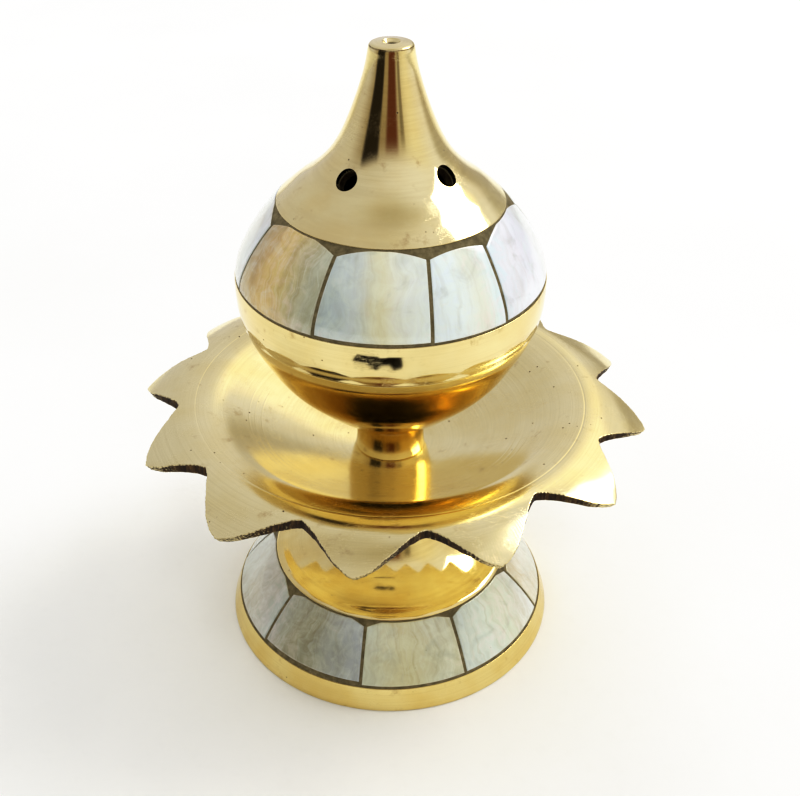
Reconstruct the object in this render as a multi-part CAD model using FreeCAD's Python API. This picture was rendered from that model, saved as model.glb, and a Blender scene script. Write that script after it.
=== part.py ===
import FreeCAD, Part
from FreeCAD import Vector as V
from math import sin, cos, radians, degrees, pi, hypot, atan2
import os

# Small brass incense burner: pearl-inlaid hollow foot, sun-shaped drip tray,
# cup-shaped bowl and a lift-off pearl-inlaid chimney lid.  Units are mm.
# +Z is up, the origin is the centre of the foot's underside, the front is -Y.
# Azimuths are measured from the front (-Y), positive towards +X.

# ---------------------------------------------------------------- dimensions
HEIGHT = 100.0            # overall height, nominal 4 in

# foot
FOOT_R = 28.0             # outer edge of the foot on the table
RIM_TOP_R, RIM_TOP_Z = 26.8, 3.9       # top of the plain brass rim
FLARE_R, FLARE_Z = 19.91, 12.36        # lower edge of the trumpet flare
BASE_TOP_Z = 30.6         # face the tray sits on
BASE_CEIL_Z = 26.0        # inside face of the solid top of the foot
FOOT_WALL_R = 25.7        # inner edge of the annular standing face

# inlay
TILE_T = 1.25             # thickness of a shell tile
BED_T = 0.45              # cement under a tile
JOINT_W = 0.50            # cement joint between neighbours
CEMENT_SINK = 0.12        # cement lies this much below the tile faces

# tray
TRAY_T = 1.7              # plate thickness
TRAY_SEAT_Z = 33.9        # small flat seat under the bowl's neck
TRAY_SEAT_R = 5.65
BOSS_R = 9.4              # boss under the tray that stands on the foot
CREST_R = 31.1            # turned line on the crest, where the dish ends and the petals begin

# bowl
NECK_R = 5.65             # neck where it stands on the tray
PART_Z = 59.75            # parting line between bowl and lid
BOWL_R = 22.50            # bowl outside radius at the parting line
SPIGOT_R = 20.90          # upstanding rim the lid slips over
SPIGOT_TOP_Z = 62.60
BOWL_BORE_R = 19.40
BOWL_FLOOR_Z = 44.40

# lid
LID_BORE_R = 21.00        # slides over the spigot with 0.10 clearance
BAND_BOT_R = 22.74
BAND_TOP_R, BAND_TOP_Z = 23.22, 66.27
CONE_R, CONE_Z = 16.59, 77.51          # lower edge of the chimney cone
TIP_R = 3.05
SMOKE_R = 0.85            # smoke hole / stick hole through the tip
VENT_D = 3.3
VENT_AZ0 = -38.7          # four vents, a quarter turn apart

# tie stud
STUD_R = 2.5
STUD_HOLE_R = 2.6
STUD_BOT_Z, STUD_TOP_Z = 19.2, 40.0
NUT_AF, NUT_H = 8.0, 4.7
WASHER_R, WASHER_T = 5.0, 1.0


# ------------------------------------------------------------------ helpers
def polar(r, az, z=0.0):
    a = radians(az)
    return V(r * sin(a), -r * cos(a), z)


def rz(pts):
    return [V(p[0], 0, p[1]) for p in pts]


def spline(pts, t0=None, t1=None):
    c = Part.BSplineCurve()
    if t0 is not None:
        c.interpolate(Points=rz(pts), InitialTangent=V(t0[0], 0, t0[1]),
                      FinalTangent=V(t1[0], 0, t1[1]))
    else:
        c.interpolate(rz(pts))
    return c.toShape()


def line(a, b):
    return Part.makeLine(V(a[0], 0, a[1]), V(b[0], 0, b[1]))


def chain(segments):
    """segments: list of ('l'|'s', [(r, z), ...]); joined end to end and closed."""
    edges = []
    first = segments[0][1][0]
    for kind, pts in segments:
        if kind == 's':
            edges.append(spline(pts))
        else:
            for a, b in zip(pts[:-1], pts[1:]):
                edges.append(line(a, b))
    last = segments[-1][1][-1]
    if hypot(first[0] - last[0], first[1] - last[1]) > 1e-6:
        edges.append(line(last, first))
    return Part.Wire(edges)


def turn(segments):
    face = Part.Face(chain(segments))
    s = face.revolve(V(0, 0, 0), V(0, 0, 1), 360)
    if s.ShapeType != "Solid":
        s = Part.Solid(s) if s.ShapeType == "Shell" else s.Solids[0]
    if s.Volume < 0:
        s.reverse()
    return s


def one(shape):
    """the single solid of a boolean result"""
    sol = sorted(shape.Solids, key=lambda q: -q.Volume)
    return sol[0]


def sample(pts, n):
    c = Part.BSplineCurve()
    c.interpolate(rz(pts))
    out = []
    for i in range(n):
        u = c.FirstParameter + (c.LastParameter - c.FirstParameter) * i / (n - 1.0)
        p = c.value(u)
        t = c.tangent(u)[0]
        out.append((p.x, p.z, t.x, t.z))
    return out


def offset_curve(pts, d, n):
    """points of the curve moved by d to the right of its direction of travel"""
    res = []
    for (r, z, tr, tz) in sample(pts, n):
        res.append((r + d * tz, z - d * tr))
    return res


def prism(points, z0, z1):
    w = Part.makePolygon([V(p.x, p.y, z0) for p in points] + [V(points[0].x, points[0].y, z0)])
    return Part.Face(w).extrude(V(0, 0, z1 - z0))


def shifted(p, q, d):
    """line p-q moved sideways by d (to the left of p->q), as two points"""
    t = V(q.x - p.x, q.y - p.y, 0)
    t.normalize()
    n = V(-t.y, t.x, 0)
    return p + n * d, q + n * d


def meet(a, b, c, d):
    x1, y1, x2, y2 = a.x, a.y, b.x, b.y
    x3, y3, x4, y4 = c.x, c.y, d.x, d.y
    den = (x1 - x2) * (y3 - y4) - (y1 - y2) * (x3 - x4)
    px = ((x1 * y2 - y1 * x2) * (x3 - x4) - (x1 - x2) * (x3 * y4 - y3 * x4)) / den
    py = ((x1 * y2 - y1 * x2) * (y3 - y4) - (y1 - y2) * (x3 * y4 - y3 * x4)) / den
    return V(px, py, 0)


def tile_prism(left, right, r_top, r_bot, chord, z0, z1, far=34.0):
    """Plan outline of one tile: two side cuts and a straight top edge.
    left/right = (azimuth at the top edge, azimuth at the bottom edge)."""
    lt, lb = polar(r_top, left[0]), polar(r_bot, left[1])
    rt, rb = polar(r_top, right[0]), polar(r_bot, right[1])
    g = JOINT_W / 2.0
    l0, l1 = shifted(lt, lb, g)       # inward offsets of the two side cuts
    r0, r1 = shifted(rt, rb, -g)
    mid = 0.5 * (left[0] + right[0])
    m = polar(1.0, mid)
    c0 = m * chord
    c1 = c0 + V(-m.y, m.x, 0) * 10
    f0 = m * far
    f1 = f0 + V(-m.y, m.x, 0) * 10
    pts = [meet(l0, l1, c0, c1), meet(l0, l1, f0, f1),
           meet(r0, r1, f0, f1), meet(r0, r1, c0, c1)]
    return prism(pts, z0, z1)


# ------------------------------------------------------------------- the foot
# outer face of the foot's inlay, slightly convex, from the rim up to the flare
pearl_foot = [(RIM_TOP_R, RIM_TOP_Z), (25.35, 6.15), (23.62, 8.45), (21.70, 10.60),
              (FLARE_R, FLARE_Z)]
flare = [(FLARE_R, FLARE_Z), (19.50, 12.72), (18.2, 13.05), (16.4, 13.55), (14.4, 14.55),
         (12.4, 16.05), (10.8, 17.9), (9.55, 20.2), (8.75, 22.6), (8.25, 25.2),
         (8.15, 27.6), (8.55, 29.6)]
foot_in = [(24.35, 1.5), (17.6, 10.0), (14.9, 11.7), (11.9, 13.6), (9.6, 16.2),
           (7.9, 19.4), (6.9, 22.4), (6.3, 24.6)]

depth = TILE_T + BED_T
floor_pts = offset_curve(pearl_foot, -depth, 9)     # recess floor, inside the wall
floor_pts = [(r, z) for r, z in floor_pts]
# direction of travel is upwards and inwards, so "left" is towards the axis
if hypot(*floor_pts[0]) > hypot(RIM_TOP_R, RIM_TOP_Z):
    floor_pts = offset_curve(pearl_foot, depth, 9)

foot_profile = [
    ('l', [(FOOT_WALL_R, 0.0), (FOOT_R - 0.35, 0.0), (FOOT_R, 0.35)]),
    ('s', [(FOOT_R, 0.35), (27.62, 1.6), (27.22, 2.75), (RIM_TOP_R, RIM_TOP_Z)]),
    ('l', [(RIM_TOP_R, RIM_TOP_Z), floor_pts[0]]),
    ('s', floor_pts),
    ('l', [floor_pts[-1], (FLARE_R, FLARE_Z)]),
    ('s', flare),
    ('l', [flare[-1], (8.85, BASE_TOP_Z - 0.25), (8.6, BASE_TOP_Z), (STUD_HOLE_R, BASE_TOP_Z),
           (STUD_HOLE_R, BASE_CEIL_Z), (5.9, BASE_CEIL_Z), (6.3, 24.6)]),
    ('s', list(reversed(foot_in))),
    ('l', [foot_in[0], (FOOT_WALL_R, 0.0)]),
]
base_shell = turn(foot_profile)


def inlay(outer, side):
    """the whole recess filled, its face sunk below the tile faces"""
    face_c = offset_curve(outer, side * CEMENT_SINK, 9)
    floor = offset_curve(outer, side * (TILE_T + BED_T), 9)
    return turn([('s', face_c), ('l', [face_c[-1], floor[-1]]), ('s', list(reversed(floor))),
                 ('l', [floor[0], face_c[0]])])


side = -1.0 if hypot(*offset_curve(pearl_foot, -1.0, 3)[1]) < hypot(23.62, 8.45) else 1.0
foot_fill = inlay(pearl_foot, side)


def tile_band(outer, side, trim_lo, trim_hi):
    """tile blank shortened at both ends to leave the edge joints"""
    s = sample(outer, 81)
    # arc lengths along the curve
    acc = [0.0]
    for a, b in zip(s[:-1], s[1:]):
        acc.append(acc[-1] + hypot(b[0] - a[0], b[1] - a[1]))
    total = acc[-1]
    keep = [(p[0], p[1]) for p, L in zip(s, acc) if trim_lo <= L <= total - trim_hi]
    pts = keep[::8]
    if pts[-1] != keep[-1]:
        pts.append(keep[-1])
    inner = offset_curve(pts, side * TILE_T, len(pts))
    blank = [('s', pts), ('l', [pts[-1], inner[-1]]), ('s', list(reversed(inner))),
             ('l', [inner[0], pts[0]])]
    return turn(blank)


foot_band = tile_band(pearl_foot, side, 0.28, 0.26)

# side cuts of the foot tiles: (azimuth at the top, azimuth at the bottom)
FOOT_CUTS = [(-100.0, -99.0), (-51.8, -52.3), (-11.1, -10.4), (28.9, 28.0), (70.3, 72.0),
             (118.0, 117.0), (165.0, 166.2), (212.4, 211.2)]
# sideways shift of each tile's lower edge circle (amount, azimuth away from which it opens)
FOOT_SKEW = [(0.10, -60), (0.55, -13), (0.12, 26), (0.18, 34), (0.20, 110), (0.35, 160),
             (0.15, 170), (0.30, 250)]
foot_tiles = []
for i in range(8):
    a = FOOT_CUTS[i]
    b = FOOT_CUTS[(i + 1) % 8]
    if i == 7:
        b = (b[0] + 360.0, b[1] + 360.0)
    w = b[0] - a[0]
    chord = max(20.85 * cos(radians(w / 2.0)), 19.55)
    pr = tile_prism(a, b, 20.4, 26.5, chord, 0.0, 20.0)
    amt, az = FOOT_SKEW[i]
    c = polar(amt, az + 180.0)
    cyl = Part.makeCylinder(26.62, 30.0, V(c.x, c.y, -5.0))
    t = one(foot_band.common(pr).common(cyl).removeSplitter())
    foot_tiles.append(t)

# --------------------------------------------------------------- the lid shell
pearl_lid = [(BAND_TOP_R, BAND_TOP_Z), (22.95, 67.8), (22.09, 70.0), (21.02, 72.0),
             (19.67, 74.0), (18.22, 75.85), (CONE_R, CONE_Z)]
side_l = -1.0 if offset_curve(pearl_lid, -1.0, 3)[1][0] < 21.5 else 1.0
lid_fill = inlay(pearl_lid, side_l)
lid_band = tile_band(pearl_lid, side_l, 0.24, 0.24)
lid_floor = offset_curve(pearl_lid, side_l * (TILE_T + BED_T), 9)

cone = [(CONE_R, CONE_Z), (15.35, 78.62), (13.65, 80.05), (11.85, 81.40), (10.15, 82.95),
        (8.72, 84.60), (7.45, 86.60), (6.30, 89.00), (5.20, 91.80), (4.25, 94.60),
        (3.55, 97.20), (TIP_R + 0.12, 99.30)]
cone_in = [(1.6, 95.6), (2.6, 91.6), (3.9, 88.0), (5.6, 85.0), (7.9, 82.2), (10.4, 80.0),
           (12.6, 78.3)]
lid_in = [(12.6, 78.3), (14.6, 76.0), (16.9, 73.2), (18.7, 70.2), (19.9, 67.2), (20.4, 65.0)]
lid_profile = [
    ('l', [(LID_BORE_R, PART_Z), (BAND_BOT_R - 0.18, PART_Z), (BAND_BOT_R, PART_Z + 0.2)]),
    ('s', [(BAND_BOT_R, PART_Z + 0.2), (23.06, 61.4), (23.24, 63.2), (23.29, 65.0),
           (BAND_TOP_R, BAND_TOP_Z)]),
    ('l', [(BAND_TOP_R, BAND_TOP_Z), lid_floor[0]]),
    ('s', lid_floor),
    ('l', [lid_floor[-1], (CONE_R, CONE_Z)]),
    ('s', cone),
    ('l', [cone[-1], (TIP_R - 0.12, 99.78), (TIP_R - 0.45, 99.90), (1.25, HEIGHT),
           (SMOKE_R, 99.45), (SMOKE_R, 97.2), (1.6, 95.6)]),
    ('s', cone_in),
    ('s', lid_in),
    ('l', [(20.4, 65.0), (20.4, 63.6), (LID_BORE_R, 63.2), (LID_BORE_R, PART_Z)]),
]
lid_shell = turn(lid_profile)

# vents, drilled square to the shoulder of the cone
VENT_R, VENT_Z = 9.70, 83.40
VENT_TILT = 42.0          # drill axis above the horizontal
for k in range(4):
    az = VENT_AZ0 + 90.0 * k
    d = polar(cos(radians(VENT_TILT)), az, sin(radians(VENT_TILT)))
    p = polar(VENT_R, az, VENT_Z)
    start = p - d * 6.0
    drill = Part.makeCylinder(VENT_D / 2.0, 12.0, start, d)
    lid_shell = lid_shell.cut(drill)
lid_shell = one(lid_shell)

LID_CUTS = [(-68.5, -70.5), (-24.7, -27.2), (16.2, 14.1), (45.3, 43.9), (94.0, 96.0),
            (143.0, 141.5), (191.0, 192.6), (241.5, 240.0)]
LID_SKEW = [(0.06, -40), (0.22, -22), (0.08, 30), (0.22, 47), (0.10, 100), (0.20, 150),
            (0.12, 200), (0.16, 280)]
lid_tiles = []
for i in range(8):
    a = LID_CUTS[i]
    b = LID_CUTS[(i + 1) % 8]
    if i == 7:
        b = (b[0] + 360.0, b[1] + 360.0)
    w = b[0] - a[0]
    chord = max(17.85 * cos(radians(w / 2.0)), 16.55)
    pr = tile_prism(a, b, 17.6, 23.0, chord, 60.0, 82.0)
    amt, az = LID_SKEW[i]
    c = polar(amt, az + 180.0)
    # lower edge trimmed by a slightly tilted plane, as hand-fitted tiles are
    t = lid_band.common(pr)
    m = polar(1.0, az)
    tilt = Part.makeBox(80, 80, 20, V(-40, -40, BAND_TOP_Z + 0.22))
    tilt.rotate(V(0, 0, BAND_TOP_Z + 0.22), V(-m.y, m.x, 0), -degrees(atan2(amt, 46.0)))
    tilt.translate(V(0, 0, amt * 0.5))
    t = one(t.common(tilt).removeSplitter())
    lid_tiles.append(t)

# ------------------------------------------------------- cement beds and joints
foot_cement = foot_fill
for t in foot_tiles:
    foot_cement = foot_cement.cut(t)
foot_cement = one(foot_cement)
lid_cement = lid_fill
for t in lid_tiles:
    lid_cement = lid_cement.cut(t)
lid_cement = one(lid_cement)

# -------------------------------------------------------------------- the bowl
bowl_out = [(5.85, 39.42), (7.3, 40.35), (9.38, 42.05), (11.75, 44.05), (13.95, 46.1),
            (15.95, 48.1), (17.75, 50.2), (19.15, 52.3), (20.30, 54.4), (21.45, 56.6),
            (22.20, 58.5), (BOWL_R, PART_Z - 0.15)]
neck = [(NECK_R, TRAY_SEAT_Z + 0.1), (5.52, 35.0), (5.45, 36.2), (5.50, 37.5), (5.64, 38.6),
        (5.72, 39.14)]
bowl_in = [(0.0, BOWL_FLOOR_Z), (4.0, 44.55), (8.5, 45.6), (12.2, 48.0), (15.3, 51.2),
           (17.4, 54.4), (18.8, 57.4), (BOWL_BORE_R, 60.0)]
bowl_profile = [
    ('l', [(0.0, TRAY_SEAT_Z), (NECK_R - 0.1, TRAY_SEAT_Z), neck[0]]),
    ('s', neck),
    ('l', [neck[-1], (5.60, 39.28), bowl_out[0]]),
    ('s', bowl_out),
    ('l', [bowl_out[-1], (BOWL_R - 0.12, PART_Z), (SPIGOT_R, PART_Z),
           (SPIGOT_R, SPIGOT_TOP_Z - 0.3), (SPIGOT_R - 0.3, SPIGOT_TOP_Z),
           (BOWL_BORE_R + 0.25, SPIGOT_TOP_Z), (BOWL_BORE_R, SPIGOT_TOP_Z - 0.25),
           (BOWL_BORE_R, 60.0)]),
    ('s', list(reversed(bowl_in))),
    ('l', [(0.0, BOWL_FLOOR_Z), (0.0, TRAY_SEAT_Z)]),
]
bowl = turn(bowl_profile)
tap = Part.makeCylinder(STUD_R, STUD_TOP_Z + 1.2 - TRAY_SEAT_Z, V(0, 0, TRAY_SEAT_Z))
tip = Part.makeCone(STUD_R, 0.0, 1.4, V(0, 0, STUD_TOP_Z + 1.2))
bowl = one(bowl.cut(tap).cut(tip))

# -------------------------------------------------------------------- the tray
tray_top = [(TRAY_SEAT_R, TRAY_SEAT_Z), (7.0, 34.22), (9.0, 34.76), (11.5, 35.54), (14.0, 36.48),
            (17.0, 37.77), (20.0, 39.20), (22.5, 40.49), (24.3, 41.46), (25.5, 42.11),
            (26.3, 42.52), (27.1, 42.86), (28.0, 43.15), (29.0, 43.38), (30.0, 43.55),
            (31.1, 43.67), (32.2, 43.71), (33.2, 43.65), (34.3, 43.45), (35.5, 43.13),
            (37.0, 42.58), (38.6, 41.79), (40.2, 40.78), (41.6, 39.73), (43.0, 38.57)]
c_top = Part.BSplineCurve()
c_top.interpolate(rz(tray_top))
under = []
for i in range(33):
    u = c_top.FirstParameter + (c_top.LastParameter - c_top.FirstParameter) * i / 32.0
    p = c_top.value(u)
    t = c_top.tangent(u)[0]
    under.append((p.x + TRAY_T * t.z, p.z - TRAY_T * t.x))
under = [q for q in under if q[0] > BOSS_R + 1.2]
tray_profile = [
    ('l', [(STUD_HOLE_R, BASE_TOP_Z), (STUD_HOLE_R, TRAY_SEAT_Z), (TRAY_SEAT_R, TRAY_SEAT_Z)]),
    ('s', tray_top),
    ('l', [tray_top[-1], under[-1]]),
    ('s', list(reversed(under))),
    ('l', [under[0], (BOSS_R, BASE_TOP_Z), (STUD_HOLE_R, BASE_TOP_Z)]),
]
tray_blank = turn(tray_profile)

# teeth: (tip azimuth, tip radius of the upper edge) and the notch that follows it
TEETH = [(-67.3, 40.05), (-37.2, 40.30), (-7.0, 40.35), (22.0, 40.55), (53.0, 40.75),
         (83.0, 40.85), (110.6, 40.60), (141.5, 40.40), (171.3, 40.50), (202.4, 40.45),
         (232.3, 40.40), (262.0, 40.70)]
NOTCH = [(-53.8, 33.55), (-21.4, 33.75), (8.4, 33.85), (38.8, 32.90), (68.6, 33.95),
         (97.2, 34.05), (126.2, 33.80), (156.4, 33.70), (186.6, 33.90), (217.4, 33.60),
         (247.2, 33.80), (276.2, 33.65)]


def rise(t):
    # flank of a tooth: nearly straight with a rounded root and a rounded tip
    return 0.42 * t + 0.58 * 0.5 * (1 - cos(pi * t)) if 0 < t < 1 else float(t >= 1)


STEPS = [0.0, 0.10, 0.22, 0.36, 0.5, 0.64, 0.78, 0.90]
outline = []
for i in range(12):
    tip_az, tip_r = TEETH[i]
    n_az, n_r = NOTCH[i]
    nx_az, nx_r = TEETH[(i + 1) % 12]
    if i == 11:
        nx_az += 360.0
    for s in STEPS:                      # tip down to the notch
        f = 1.0 - rise(s)
        outline.append(polar(n_r + (tip_r - n_r) * f, tip_az + (n_az - tip_az) * s))
    for s in STEPS:                      # notch up to the next tip
        f = rise(s)
        outline.append(polar(n_r + (nx_r - n_r) * f, n_az + (nx_az - n_az) * s))
oc = Part.BSplineCurve()
oc.interpolate(Points=[V(p.x, p.y, 20.0) for p in outline], PeriodicFlag=True)
star = Part.Face(Part.Wire(oc.toShape())).extrude(V(0, 0, 40.0))
# the dish is one turned piece of surface; outside the crest line each petal has its own,
# from the root of one notch to the root of the next
crest = Part.makeCylinder(CREST_R, 40.0, V(0, 0, 20.0))
petals = []
for i in range(12):
    a0 = NOTCH[i - 1][0] - (360.0 if i == 0 else 0.0)
    a1 = NOTCH[i][0]
    fan = [V(0, 0, 20.0), polar(60.0, a0, 20.0), polar(60.0, (a0 + a1) / 2.0, 20.0),
           polar(60.0, a1, 20.0), V(0, 0, 20.0)]
    sector = Part.Face(Part.makePolygon(fan)).extrude(V(0, 0, 40.0))
    petals.append(tray_blank.common(sector.common(star).cut(crest)))
sun_tray = one(tray_blank.common(crest).fuse(petals))

# ------------------------------------------------------------- the tie hardware
pitch = 0.8
zz = STUD_BOT_Z + 0.4
prof = [(0.0, STUD_BOT_Z), (STUD_R - 0.5, STUD_BOT_Z), (STUD_R - 0.10, zz)]
while zz + pitch < STUD_TOP_Z - 0.3:
    prof += [(STUD_R - 0.02, zz + 0.08), (STUD_R - 0.42, zz + 0.40), (STUD_R - 0.02, zz + 0.72)]
    zz += pitch
prof += [(STUD_R - 0.5, STUD_TOP_Z), (0.0, STUD_TOP_Z), (0.0, STUD_BOT_Z)]
tie_stud = turn([('l', prof)])

wz = BASE_CEIL_Z - WASHER_T
tie_washer = turn([('l', [(STUD_HOLE_R + 0.05, wz), (WASHER_R - 0.12, wz), (WASHER_R, wz + 0.12),
                          (WASHER_R, wz + WASHER_T), (STUD_HOLE_R + 0.05, wz + WASHER_T),
                          (STUD_HOLE_R + 0.05, wz)])])
nz = wz - NUT_H
hexp = [polar(NUT_AF / 2.0 / cos(radians(30)), 60.0 * k + 12.0) for k in range(6)]
nut = prism(hexp, nz, nz + NUT_H)
corner = NUT_AF / 2.0 / cos(radians(30))
cham = turn([('l', [(0.0, nz), (NUT_AF / 2.0 - 0.1, nz), (corner + 0.02, nz + 0.42),
                    (corner + 0.02, nz + NUT_H - 0.42), (NUT_AF / 2.0 - 0.1, nz + NUT_H),
                    (0.0, nz + NUT_H), (0.0, nz)])])
nut = nut.common(cham).cut(Part.makeCylinder(STUD_R, NUT_H + 2, V(0, 0, nz - 1)))
nut = nut.cut(Part.makeCone(STUD_R + 0.35, STUD_R, 0.35, V(0, 0, nz)))
tie_nut = one(nut)

# -------------------------------------------------------------------- write out
nodes = {
    "base_shell": base_shell, "base_cement": foot_cement, "sun_tray": sun_tray, "bowl": bowl,
    "tie_stud": tie_stud, "tie_washer": tie_washer, "tie_nut": tie_nut,
    "lid_shell": lid_shell, "lid_cement": lid_cement,
}
for i, t in enumerate(foot_tiles):
    nodes["base_pearl_%d" % (i + 1)] = t
for i, t in enumerate(lid_tiles):
    nodes["lid_pearl_%d" % (i + 1)] = t

os.makedirs("parts", exist_ok=True)
for name in sorted(nodes):
    s = nodes[name]
    b = s.BoundBox
    print("%-14s %-6s valid=%s vol=%9.2f  x %.2f %.2f  y %.2f %.2f  z %.2f %.2f faces=%d" % (
        name, s.ShapeType, s.isValid(), s.Volume, b.XMin, b.XMax, b.YMin, b.YMax, b.ZMin, b.ZMax,
        len(s.Faces)))
    s.exportStep("parts/%s.step" % name)
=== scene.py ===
import bpy, bmesh, math
import numpy as np
from mathutils import Vector, Matrix


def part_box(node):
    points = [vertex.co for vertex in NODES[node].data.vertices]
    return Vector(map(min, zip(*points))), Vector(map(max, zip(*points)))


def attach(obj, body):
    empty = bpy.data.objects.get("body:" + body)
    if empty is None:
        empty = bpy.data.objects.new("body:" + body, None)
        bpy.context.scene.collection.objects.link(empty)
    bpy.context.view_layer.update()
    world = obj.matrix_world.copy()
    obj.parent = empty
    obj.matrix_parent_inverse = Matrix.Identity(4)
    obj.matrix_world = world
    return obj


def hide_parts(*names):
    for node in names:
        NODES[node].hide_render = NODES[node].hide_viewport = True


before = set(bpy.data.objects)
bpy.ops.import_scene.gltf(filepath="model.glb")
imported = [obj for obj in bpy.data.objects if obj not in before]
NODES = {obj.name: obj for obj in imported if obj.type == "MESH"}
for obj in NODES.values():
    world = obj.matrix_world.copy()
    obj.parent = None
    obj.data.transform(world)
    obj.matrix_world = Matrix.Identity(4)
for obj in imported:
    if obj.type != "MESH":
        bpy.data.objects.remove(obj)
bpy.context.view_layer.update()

# one unit is a millimetre of the 100 mm tall burner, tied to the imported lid's top
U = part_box("lid_shell")[1].z / 100.0
sin, cos, pi, rad = math.sin, math.cos, math.pi, math.radians


# =========================================================== profile helpers
def spl(P, step=0.35, n=None):
    """natural cubic through the points, sampled about every `step`"""
    P = np.array(P, float)
    d = np.hypot(*np.diff(P, axis=0).T)
    t = np.r_[0, np.cumsum(d)]
    m = len(t)
    out = []
    if n is None:
        n = max(4, int(round(t[-1] / step)) + 1)
    q = np.linspace(0, t[-1], n)
    for c in range(2):
        y = P[:, c]
        h = np.diff(t)
        A = np.zeros((m, m)); b = np.zeros(m)
        A[0, 0] = A[-1, -1] = 1
        for i in range(1, m - 1):
            A[i, i - 1] = h[i - 1]; A[i, i] = 2 * (h[i - 1] + h[i]); A[i, i + 1] = h[i]
            b[i] = 6 * ((y[i + 1] - y[i]) / h[i] - (y[i] - y[i - 1]) / h[i - 1])
        M = np.linalg.solve(A, b)
        k = np.clip(np.searchsorted(t, q, side="right") - 1, 0, m - 2)
        dx = q - t[k]; hk = h[k]
        out.append(y[k] + dx * ((y[k + 1] - y[k]) / hk - hk * (2 * M[k] + M[k + 1]) / 6)
                   + dx ** 2 * M[k] / 2 + dx ** 3 * (M[k + 1] - M[k]) / (6 * hk))
    return np.stack(out, 1)


def seg(a, b, step=0.8):
    a = np.array(a, float); b = np.array(b, float)
    n = max(2, int(math.ceil(np.hypot(*(b - a)) / step)) + 1)
    return a + (b - a) * np.linspace(0, 1, n)[:, None]


def offset_pts(P, d):
    """points moved by d to the right of the direction of travel"""
    P = np.array(P, float)
    T = np.gradient(P, axis=0)
    T /= np.hypot(T[:, 0], T[:, 1])[:, None]
    return np.stack([P[:, 0] + d * T[:, 1], P[:, 1] - d * T[:, 0]], 1)


def join(parts, rounds, closed=True):
    """Polylines end to end; rounds[i] is the edge rounding where part i meets part i+1.
    Each corner becomes a small curve with a support ring on both sides."""
    n = len(parts)
    cuts = []
    for i in range(n):
        P = np.array(parts[i], float)
        L = np.r_[0, np.cumsum(np.hypot(*np.diff(P, axis=0).T))]
        a = rounds[(i - 1) % n] if (closed or i > 0) else 0
        b = rounds[i] if (closed or i < n - 1) else 0
        a = min(a, L[-1] * 0.45); b = min(b, L[-1] * 0.45)

        def at(s):
            return np.array([np.interp(s, L, P[:, 0]), np.interp(s, L, P[:, 1])])
        keep = [P[k] for k in range(len(P)) if (L[k] > a * 1.6 + 1e-9 or a == 0) and (L[k] < L[-1] - b * 1.6 - 1e-9 or b == 0)]
        body = []
        if a > 0:
            body += [at(a), at(a * 1.5)]
        body += keep
        if b > 0:
            body += [at(L[-1] - b * 1.5), at(L[-1] - b)]
        cuts.append((body, at(a), at(L[-1] - b), P[0], P[-1], a, b))
    out = []
    for i in range(n):
        out += cuts[i][0]
        if closed or i < n - 1:
            nx = cuts[(i + 1) % n]
            if rounds[i] > 0:
                p0 = cuts[i][2]; c = cuts[i][4]; p1 = nx[1]
                for t in (0.2, 0.4, 0.6, 0.8):
                    out.append((1 - t) ** 2 * p0 + 2 * t * (1 - t) * c + t * t * p1)
    res = [np.array(out[0])]
    for p in out[1:]:
        if np.hypot(*(np.array(p) - res[-1])) > 1e-4:
            res.append(np.array(p))
    if closed and np.hypot(*(res[0] - res[-1])) < 1e-4:
        res.pop()
    return np.array(res)


def add_mesh(name, verts, faces, mats, mat_idx=None):
    me = bpy.data.meshes.new(name)
    me.from_pydata([tuple(v) for v in verts], [], faces)
    for m in mats:
        me.materials.append(m)
    me.polygons.foreach_set("use_smooth", [True] * len(me.polygons))
    if mat_idx is not None:
        me.polygons.foreach_set("material_index", mat_idx)
    me.validate()
    me.update()
    ob = bpy.data.objects.new(name, me)
    bpy.context.scene.collection.objects.link(ob)
    return ob


def fast_mesh(name, V, F, mats):
    """quad mesh from arrays"""
    V = np.asarray(V, "f4"); F = np.asarray(F, "i4")
    me = bpy.data.meshes.new(name)
    me.vertices.add(len(V)); me.vertices.foreach_set("co", V.ravel())
    me.loops.add(F.size); me.loops.foreach_set("vertex_index", F.ravel())
    me.polygons.add(len(F))
    me.polygons.foreach_set("loop_start", np.arange(0, F.size, 4, dtype="i4"))
    me.polygons.foreach_set("loop_total", np.full(len(F), 4, "i4"))
    for m in mats:
        me.materials.append(m)
    me.update(calc_edges=True)
    me.validate()
    me.polygons.foreach_set("use_smooth", [True] * len(me.polygons))
    ob = bpy.data.objects.new(name, me)
    bpy.context.scene.collection.objects.link(ob)
    return ob


def revolve(name, prof, mats, seg_n=288, wobble=None):
    """closed profile (r, z) turned round Z.  Points on the axis become one vertex."""
    prof = np.array(prof, float)
    n = len(prof)
    verts, rings = [], []
    th = np.arange(seg_n) * 2 * pi / seg_n
    s, c = np.sin(th), -np.cos(th)
    for i, (r, z) in enumerate(prof):
        if r < 1e-5:
            rings.append((len(verts), True))
            verts.append((0, 0, z * U))
        else:
            rings.append((len(verts), False))
            rr = np.full(seg_n, r); zz = np.full(seg_n, z)
            if wobble is not None:
                rr, zz = wobble(r, z, th)
            for k in range(seg_n):
                verts.append((rr[k] * s[k] * U, rr[k] * c[k] * U, zz[k] * U))
    faces = []
    # outward orientation from the signed area of the profile
    x, y = prof[:, 0], prof[:, 1]
    ccw = np.sum(x * np.roll(y, -1) - np.roll(x, -1) * y) > 0
    for i in range(n):
        a, pa = rings[i]; b, pb = rings[(i + 1) % n]
        if pa and pb:
            continue
        for k in range(seg_n):
            k2 = (k + 1) % seg_n
            if pa:
                f = (a, b + k, b + k2)
            elif pb:
                f = (a + k, b, a + k2)
            else:
                f = (a + k, b + k, b + k2, a + k2)
            faces.append(f if not ccw else f[::-1])
    return add_mesh(name, verts, faces, mats)


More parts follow.
